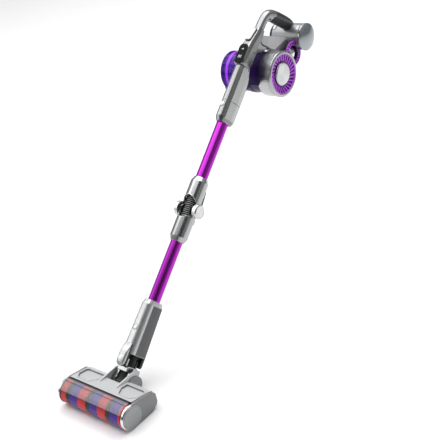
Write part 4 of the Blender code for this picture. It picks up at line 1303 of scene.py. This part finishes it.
def make_neck_socket():
    wide, deep = 25 / 22, 29 / 25
    stations = [
        (SOCKET_TOP, 0.800), (SOCKET_TOP - 0.5, 0.825), (SOCKET_TOP - 11, 0.972), (SOCKET_TOP - 13, 1)
    ]
    stations += [(SOCKET_END + 1.2, 1, wide, deep), (SOCKET_END, 0.965, wide, deep)]
    bore = round_sections(14.2, (SOCKET_END, -342), 0.6) + round_sections(TUBE_FIT, (-341, SOCKET_TOP))
    sections = socket_sections(stations, NECK_RING) + bore
    socket = loft("neck_socket_shell", WAND, sections, LIT_NECK_SILVER, ring=True, smooth=28)
    carve(socket, release_button("neck_button_cap", NECK_BUTTON, "neck_catch", "neck_release_button"))
    dress_faces(socket, NECK_SIDE, lambda c, n: abs(n.x) > 0.9 and c.y > -15 and c.z < SOCKET_TOP - 12)
    attach(socket, "neck", "neck_socket")
    arm = (
        (-392.6, 11.6, -32.6, -20, 3),
        (-394, 13.2, -34.6, -20, 4),
        (-402, 13.8, -37.8, -20.6, 4.6),
        (-411, 13.8, -40.6, -22, 5),
        (-421, 13.8, -42.4, -23, 5.2),
        (-443, 13.8, -43, -23.2, 5.2),
        (-449, 13, -42.1, -24, 5.2),
        (-453.4, 11.6, -40.6, -26, 5),
        (-456.2, 9, -38.2, -28.8, 4.2),
        (-457.2, 5.4, -36, -31.2, 2.2),
    )
    front = loft("fork_arm_front", WAND, [block_ring(*row) for row in arm], LIT_NECK_SILVER, smooth=38)
    cap_seat = spun("cap_seat", (0, -44, ROLL_S), "y", radius=9.9, low=-4, high=4)
    carve(front, cap_seat, spun("pin_bore", (0, -30, ROLL_S), "y", radius=4.8, low=-20, high=20))
    dress_faces(front, BLACK, lambda c, n: c.y > -35 and n.y > -0.35)
    attach(front, "neck")
    tab = [(22, -400), (27.5, -400), (35, -411), (35, -444), (32, -449), (26, -449), (24.6, -446)]
    tab += [(24.6, -421), (20, -416)]
    rear = slab(
        "fork_arm_rear", WAND, ORIGIN, "x", soften(tab, (1, 2, 4, 3, 1.5, 1.5, 1, 1, 1), 4), -15, 15, BLACK,
        edge=1.6,
    )
    carve(rear, spun("pin_bore", (0, 28, ROLL_S), "y", radius=4.8, low=-20, high=20))
    attach(rear, "neck")
    cap = [(0, 44.7), (6.4, 44.4), (9.2, 42.8), (9.2, 40.4), (4.5, 40.4), (4.5, 15.8), (0, 15.8)]
    profile = soften(cap, (0, 1.2, 1, 0.3, 0.2, 0.4, 0), 4)
    pin = lathe("roll_pin_cap", WAND, (0, 0, ROLL_S), "y", profile, WHITE, steps=64, flip=True)
    attach(pin, "neck", "roll_pin_front")


def make_neck_hoses():
    hose = ribbed("neck_hose", WAND, (0, 1, -436), 32, 7, 15.4, 12.8, 11.2, RUBBER, RIB_DIM_HIGHLIGHT)
    bend_hose(hose, "neck_bellows")


def make_yoke():
    """The saddle between the roll axis (along t) and the pitch axis (along x)."""
    roll = (0, 0, ROLL_S)
    pitch = (0, *PITCH)
    block = slab(
        "yoke_saddle", WAND, roll, "x",
        soften([(-21, -31), (-21, -17), (-18, -15), (19, -15), (22.8, -18), (22.8, -31)], 2, 4), -18, 18,
        SILVER, edge=2,
    )
    ear = mirrored([(9, -24), *arc((0, 0), 9, 0, 90, 10)])
    others = [
        slab("ear_front", WAND, roll, "y", ear, -22, -16.4),
        slab("ear_rear", WAND, roll, "y", ear, 18.2, 23.6),
    ]
    others.append(
        slab("yoke_web", WAND, roll, "x", [(9.2, -47), (9.2, -20), (21.6, -20), (21.6, -47)], -17.4, 17.4)
    )
    for hand in (1, -1):
        low, high = sorted((hand * 16.7, hand * 26.7))
        cheek = soften(
            [(-12.4, -54), (-8, -17.4), (18, -17.4), (21.2, -22), (21.2, -54)], (0, 4, 4, 4, 0), 4
        )
        others.append(slab("yoke_cheek", WAND, roll, "x", cheek, low, high))
        disc = soften([(0, 27), (22.6, 27), (24, 25.6), (24, 16.5), (0, 16.5)], (0, 0.5, 0.5, 0.3, 0), 2)
        others.append(lathe("yoke_disc", WAND, pitch, "x", disc, steps=72, flip=hand < 0))
    fuse(block, *others)
    bores = (
        spun("bore", (0, 1, -463), "z", radius=13.2, low=-30, high=30),
        spun("roll_bore", roll, "y", radius=4.8), spun("pitch_bore", pitch, "x", radius=6.2),
    )
    carve(block, *bores)
    # The cheeks' inner faces in the neck's opening are black: painted shade between the cheeks and the
    # hose.
    dress_faces(block, BLACK, lambda c, n: abs(n.x) > 0.8 and abs(c.x) < 17.6 and c.z < -16)
    attach(block, "neck_yoke", "yoke")


def world_point(t, s):
    spot = wand_point(0, t, s) / MM
    return spot.y, spot.z


# Floor head

REAR_STEPS = 24
CAP_STEPS = 40
NECK_GAP = 27.6
BOSS_X = 33.3
TOP_REAR = (24, 52.4)
TOP_FRONT = (-33, 64.6)
HOSE_RIBS = 9
RIB_RINGS = 6
HOSE_POINTS = 40


def make_head_hose():
    """The ribbed duct from the yoke forward into the housing, bent in a quarter turn."""
    y, z = world_point(1, -466)
    line = spline_points([(y, z, 0), (y - 8, z - 6, 0), (y - 20, z - 13.5, 0), (15.5, 31, 0)], 10)
    sections = []
    total = len(line) - 1
    rings = HOSE_RIBS * RIB_RINGS
    for k in range(rings + 1):
        spot = k / rings * total
        low = min(int(spot), total - 1)
        share = spot - low
        here = Vector(line[low][:2]).lerp(Vector(line[low + 1][:2]), share)
        ahead = (Vector(line[low + 1][:2]) - Vector(line[low][:2])).normalized()
        out = Vector((-ahead.y, ahead.x))
        radius = 12.6 + 1.2 * math.sin(2 * math.pi * (k / RIB_RINGS))
        ring = []
        for x, n in arc((0, 0), radius, 0, 360, HOSE_POINTS)[:-1]:
            ring.append((x * (1.2 + 0.5 * spot / total), here.x + out.x * n, here.y + out.y * n))
        sections.append(ring)
    hose = loft("head_hose", FLOOR, sections, RUBBER, smooth=60)
    # One ring of faces per rib, on the crest, takes a lighter rubber: painted highlight.
    hose.data.materials.append(RIB_DIM_HIGHLIGHT)
    for face in hose.data.polygons:
        if (face.index // HOSE_POINTS) % RIB_RINGS == 1:
            face.material_index = 1
    bend_hose(hose, "head_bellows")


def rear_arc(low, high):
    """The housing's edge round the roller between two heights, from the higher."""
    radius = COVER_R + 1.8
    start, end = (math.degrees(math.asin((z - ROLLER[1]) / radius)) for z in (high, low))
    return arc(ROLLER, radius, start, end, REAR_STEPS)


def neck_cutters():
    """The neck's opening in the housing, and the duct that leads forward from it."""
    opening = [(12, -8), (12, 90), (90, 90), (90, -8)]
    return [
        slab("neck_slot", FLOOR, ORIGIN, "x", opening, -NECK_GAP, NECK_GAP),
        spun("duct", (0, -2, 30), "y", frame_at=FLOOR, radius=14.2, low=-30, high=30),
    ]


def boss_cutter(hand):
    """Room for the round boss on one side of the neck's opening."""
    place = (hand * BOSS_X, *world_point(*PITCH))
    return spun("boss_clear", place, "x", frame_at=FLOOR, radius=27.5, low=-6.3, high=6.3, steps=72)


def make_head_base():
    outline = [*rear_arc(0, 21.8), (14, 0), (34, 9), (37, 14), (37, 21.8)]
    radii = [0] * (REAR_STEPS + 1) + [4, 3, 3, 0]
    base = slab(
        "head_base_shell", FLOOR, ORIGIN, "x", soften(outline, radii, 4), -HEAD_HALF, HEAD_HALF, SIDE_GREY,
        edge=0.5, steps=2,
    )
    y, z = world_point(*PITCH)
    bosses = []
    for hand in (1, -1):
        profile = soften([(0, 39), (25.4, 39), (27, 37.4), (27, 27.7), (0, 27.7)], (0, 1, 1, 0.4, 0), 3)
        bosses.append(lathe("pitch_boss", FLOOR, (0, y, z), "x", profile, steps=72, flip=hand < 0))
    fuse(base, *bosses)
    cutters = [*neck_cutters(), spun("pin", (0, y, z), "x", frame_at=FLOOR, radius=5.9, low=-60, high=60)]
    for hand in (1, -1):
        well = soften([(13, -9), (13, 17), (54, 17), (54, -9)], (0, 3, 0, 0), 4)
        cutters.append(slab("wheel_well", FLOOR, (hand * WHEEL_AT[0], 0, 0), "x", well, -6, 6))
    carve(base, *cutters)
    attach(base, "floor_head", "head_base")


def make_head_cover():
    """The housing's top: a front lip by the roller, two sunk panels, and room for the neck."""
    top = [(37, 22.1), (37, 38), (33.4, 47.6), TOP_REAR, TOP_FRONT, (-40, 66)]
    outline = [*rear_arc(22.1, 64.8), *top]
    radii = [0] * (REAR_STEPS + 1) + [0, 6, 6, 3, 0, 0.6]
    cover = slab(
        "head_cover_shell", FLOOR, ORIGIN, "x", soften(outline, radii, 5), -HEAD_HALF, HEAD_HALF, HEAD_GREY,
        edge=0.5, steps=2,
    )
    cutters = neck_cutters()
    for hand in (1, -1):
        cutters.append(boss_cutter(hand))
        rows = []
        for lift, shrink in ((-4.2, 1.6), (3, 0)):
            left, right, rear, front = 42 + shrink, 109.4 - shrink, 18.4 - shrink, -27 + shrink
            floor = [
                (left, rear), (104, rear), (right, 13), (right, -12), (97, front), (57, front), (left, -3)
            ]
            rows.append([(hand * x, y, top_height(y) + lift) for x, y in soften(floor, 2, 4)])
        cutters.append(loft("panel_pocket", FLOOR, rows))
    carve(cover, *cutters)
    # The pocket walls take the darker side grey: painted shade in the recesses.
    dress_faces(cover, SIDE_GREY, gets_painted_pocket_shade)
    attach(cover, "floor_head", "head_cover")


def gets_painted_pocket_shade(centre, normal):
    """Whether a face of the housing's top is one of the steep walls of a sunk panel, which take painted
    shade.
    """
    depth = top_height(centre.y) - centre.z
    return 40 < abs(centre.x) < 111 and -30 < centre.y < 20 and 0.2 < depth < 5 and normal.z < 0.9


def top_height(y):
    """Height of the housing's sloped top at y."""
    rise, run = TOP_FRONT[1] - TOP_REAR[1], TOP_REAR[0] - TOP_FRONT[0]
    return TOP_REAR[1] + (TOP_REAR[0] - y) * rise / run


def make_head_panels():
    """A raised rim round each sunk panel."""
    for hand, side in SIDES:
        outer = soften(
            [
                (38.6, 21.6), (105.8, 21.6), (112.6, 14.6), (112.6, -13.6), (98.8, -30.4), (55.2, -30.4),
                (38.6, -4.6),
            ],
            3, 5,
        )
        inner = soften(
            [(42, 18.4), (104, 18.4), (109.4, 13), (109.4, -12), (97, -27), (57, -27), (42, -3)], 2.5, 5
        )
        rows = []
        for outline, lift in ((outer, 0), (outer, 1.3), (inner, 1.3), (inner, 0.1)):
            rows.append([(hand * x, y, top_height(y) + lift) for x, y in outline])
        rim = loft(f"panel_rim_{side}", FLOOR, rows, HEAD_GREY, ring=True, smooth=20)
        attach(rim, "floor_head")


def make_ridges():
    """Two blades that rise from the housing's front to the sides of the neck."""
    z = world_point(*PITCH)[1]
    for hand, side in SIDES:
        fin = [(-16, 55), (-11, 62), (50, 64.5), (59, 62), (61.5, 54), (58, z + 22), (30, 44), (-4, 50)]
        low, high = sorted((hand * 28.6, hand * 33.2))
        blade = slab(
            f"neck_ridge_{side}", FLOOR, ORIGIN, "x", soften(fin, (1, 6, 8, 4, 3, 0, 0, 0), 5), low, high,
            HEAD_GREY, edge=1,
        )
        carve(blade, boss_cutter(hand))
        attach(blade, "floor_head")


def make_roller():
    axis = (0, *ROLLER)
    half = HEAD_HALF - 1.5
    cover = arc((0, 0), COVER_R + 1.4, 79, 142.4, 28) + arc((0, 0), COVER_R - 0.4, 142.4, 79, 28)
    shell = slab("roller_window", FLOOR, axis, "x", cover, -half, half, SMOKE, smooth=25)
    attach(shell, "floor_head", "roller_cover")
    strip = arc((0, 0), COVER_R + 1.5, 66, 78.6, 8) + arc((0, 0), COVER_R - 0.4, 78.6, 66, 8)
    attach(
        slab("window_seal", FLOOR, axis, "x", strip, -half, half, BLACK), "floor_head", "seal_strip",
    )
    for name, start, end in (("window_seam", 96, 97), ("window_lip", 141.8, 143.6)):
        line = arc((0, 0), COVER_R + 1.9, start, end, 3) + arc((0, 0), COVER_R - 0.6, end, start, 3)
        attach(slab(name, FLOOR, axis, "x", line, -half, half, GUNMETAL), "floor_head")
    sides = 16
    sleeve = [(ROLLER_R, half - 1.5), (ROLLER_R, 1.5 - half), (20.3, 1.5 - half), (20.3, half - 1.5)]
    plush = lathe(
        "roller_plush_sleeve", FLOOR, axis, "x", soften(sleeve, (1.5, 1.5, 0.3, 0.3), 3), PLUSH,
        steps=sides * 6,
    )
    for vert in plush.data.vertices:
        angle = math.atan2(vert.co.y, vert.co.x)
        radius = math.hypot(vert.co.x, vert.co.y)
        if radius > 30 * MM:
            swell = 1 - 0.012 * (1 + math.cos(sides * angle)) / 2
            vert.co.x *= swell
            vert.co.y *= swell
    attach(plush, "roller", "roller_sleeve")


def make_end_caps():
    end = HEAD_END
    for hand, side in SIDES:
        outline = arc(ROLLER, COVER_R - 2.5, -90, -255, CAP_STEPS)
        outline += [(-36, 64), (22, 53.6), (36.6, 41), (37, 16), (32, 8), (14, 0)]
        radii = [0] * (CAP_STEPS + 1) + [3, 12, 6, 6, 6, 8]
        low, high = sorted((hand * (HEAD_HALF + 0.3), hand * end))
        cap = slab(
            f"end_cap_{side}_plate", FLOOR, ORIGIN, "x", soften(outline, radii, 5), low, high, SIDE_GREY,
            edge=2.6, steps=5,
        )
        if hand > 0:
            boss = [(0, end - 4), (15.6, end - 4), (15.6, HEAD_HALF - 24), (0, HEAD_HALF - 24)]
            fuse(cap, lathe("roller_boss", FLOOR, (0, *ROLLER), "x", boss, steps=64))
        attach(cap, "floor_head", f"end_cap_{side}")
        hoop = [
            (34.8, HEAD_HALF + 0.6), (34.8, end - 3), (33, end - 0.7), (31, end - 0.7),
            (31, HEAD_HALF + 0.6),
        ]
        profile = soften(hoop, (0.6, 2, 1, 0.3, 0.3), 4)
        ring = lathe(
            f"end_ring_{side}", FLOOR, (0, *ROLLER), "x", profile, CHROME, steps=120, flip=hand < 0
        )
        attach(ring, "floor_head")
        face = [(0, end + 0.9), (27.6, end + 0.9), (28.8, end + 0.2), (28.8, end - 1), (0, end - 1)]
        profile = soften(face, (0, 0.6, 0.4, 0, 0), 3)
        disc = lathe(f"end_disc_{side}", FLOOR, (0, *ROLLER), "x", profile, SATIN, steps=96, flip=hand < 0)
        attach(disc, "floor_head")
        rim = soften([(30.4, end + 0.7), (29.4, end + 0.7), (29.4, end - 1), (30.4, end - 1)], 0.3, 2)
        attach(
            lathe(f"end_bead_{side}", FLOOR, (0, *ROLLER), "x", rim, HEAD_GREY, steps=96, flip=hand < 0),
            "floor_head",
        )


def make_wheels():
    for hand, side in SIDES:
        centre = (hand * WHEEL_AT[0], WHEEL_AT[1], FLOOR_Z + WHEEL_R)
        half = [(WHEEL_R, 3.2), (8.4, 4.2), (7, 4.5), (6.4, 3.8), (3, 3.8), (2, 4.5), (2, 5.6)]
        profile = [(0, 5.6), *reversed(half), *[(r, -h) for r, h in half], (0, -5.6)]
        attach(
            lathe(
                f"wheel_{side}_tyre", FLOOR, centre, "x", soften(profile, 0.3, 2, closed=False), RUBBER,
                steps=64,
            ),
            f"wheel_axle_{side}", f"wheel_{side}",
        )


def dress_hidden_nodes():
    for look, names in (
        (PAPER, ("hepa_filter",)),
        (BOARD, ("control_board",)),
        (STEEL, ("motor", "impeller", "roll_pin_rear", "pitch_pin_right", "pitch_pin_left", "brush_motor")),
        (VIOLET_DEEP, ("roller_core",)),
    ):
        for name in names:
            mesh = NODES[name].data
            mesh.materials.clear()
            mesh.materials.append(look)


# Camera, floor and light


CAMERA_AT = Vector((1.5215, -1.045, 1.387))
LIGHT_GAP = (0.64, -0.62, 0.456)  # the darker side of the surround
CAMERA_RIGHT = (0.767, 0.617, -0.179)
CAMERA_BACK = (0.620, -0.638, 0.456)
LENS_MM = 69.7
SENSOR_MM = 36
FAR_M = 60
FLOOR_HALF_M = 12
LIGHTS = (  # name, place, aim, width, height, power
    ("ceiling", (-1.2, 1.6, 5.5), (-1.2, 1.6, 0), 8, 8, 410),
    ("key_left", (-1.9, -0.7, 2.3), (0, 0.4, 0.4), 1.2, 1.8, 7),
    ("key_low", (-1.7, -1.45, 1.4), (0, 0.05, 0.15), 1.1, 1.1, 5.5),
    ("top_back", (0.2, 1.6, 2.9), (0, 0.5, 0.4), 2.2, 1.2, 15),
)


def make_camera():
    camera = bpy.data.cameras.new("camera")
    camera.lens = LENS_MM
    camera.sensor_width = SENSOR_MM
    camera.clip_end = FAR_M
    eye = bpy.data.objects.new("camera", camera)
    bpy.context.scene.collection.objects.link(eye)
    right = Vector(CAMERA_RIGHT).normalized()
    back = Vector(CAMERA_BACK)
    back = (back - right * back.dot(right)).normalized()
    up = back.cross(right)
    eye.matrix_world = Matrix.Translation(CAMERA_AT) @ Matrix((right, up, back)).transposed().to_4x4()
    bpy.context.scene.camera = eye


def area_light(name, place, aim, width, height, power):
    light = bpy.data.lights.new(name, "AREA")
    light.shape = "RECTANGLE"
    light.size = width
    light.size_y = height
    light.energy = power
    lamp = bpy.data.objects.new(name, light)
    bpy.context.scene.collection.objects.link(lamp)
    lamp.location = place
    lamp.rotation_euler = (Vector(aim) - Vector(place)).to_track_quat("-Z", "Y").to_euler()


def make_stage():
    bm = bmesh.new()
    bmesh.ops.create_grid(bm, x_segments=1, y_segments=1, size=FLOOR_HALF_M)
    pale = surface("pale_floor", (0.93, 0.93, 0.93), 0.7, vary=0.01, grain=60, bump=0)
    floor = as_object("studio_floor", bm, Matrix.Translation((0, 0, FLOOR_Z * MM)), pale, 30)
    world = bpy.data.worlds.new("studio")
    bpy.context.scene.world = world
    world.use_nodes = True
    tree = world.node_tree
    around = coordinates(tree, "Generated")
    inputs = {0: around, 1: LIGHT_GAP}
    nearness = add_node(tree, "ShaderNodeVectorMath", "Value", inputs, operation="DOT_PRODUCT")
    side = map_range(tree, nearness, 0.42, 0.03, 0.72, 0.93, interpolation_type="SMOOTHSTEP")
    rise = map_range(tree, height_of(tree, around), 0.6, 1.2, 0, 0.6)
    inputs = {"Color": (1, 1, 1, 1), "Strength": math_node(tree, "MULTIPLY", side, rise)}
    feed(tree, tree.nodes["Background"], inputs)
    for row in LIGHTS:
        area_light(*row)
    bpy.context.scene.view_settings.view_transform = "Standard"


make_camera()
make_stage()
make_tubes()
make_collars()
make_knobs()
make_wand_hose()
make_fold_catch()
make_nozzle()
make_spine()
make_branch()
make_display()
make_handle()
make_cyclone()
make_shroud()
make_cup_collar()
make_dust_cup()
make_motor()
make_filter_cap()
make_bridge()
make_exhaust()
make_battery()
make_neck_socket()
make_neck_hoses()
make_yoke()
make_head_hose()
make_head_base()
make_head_cover()
make_head_panels()
make_ridges()
make_roller()
make_end_caps()
make_wheels()
dress_hidden_nodes()
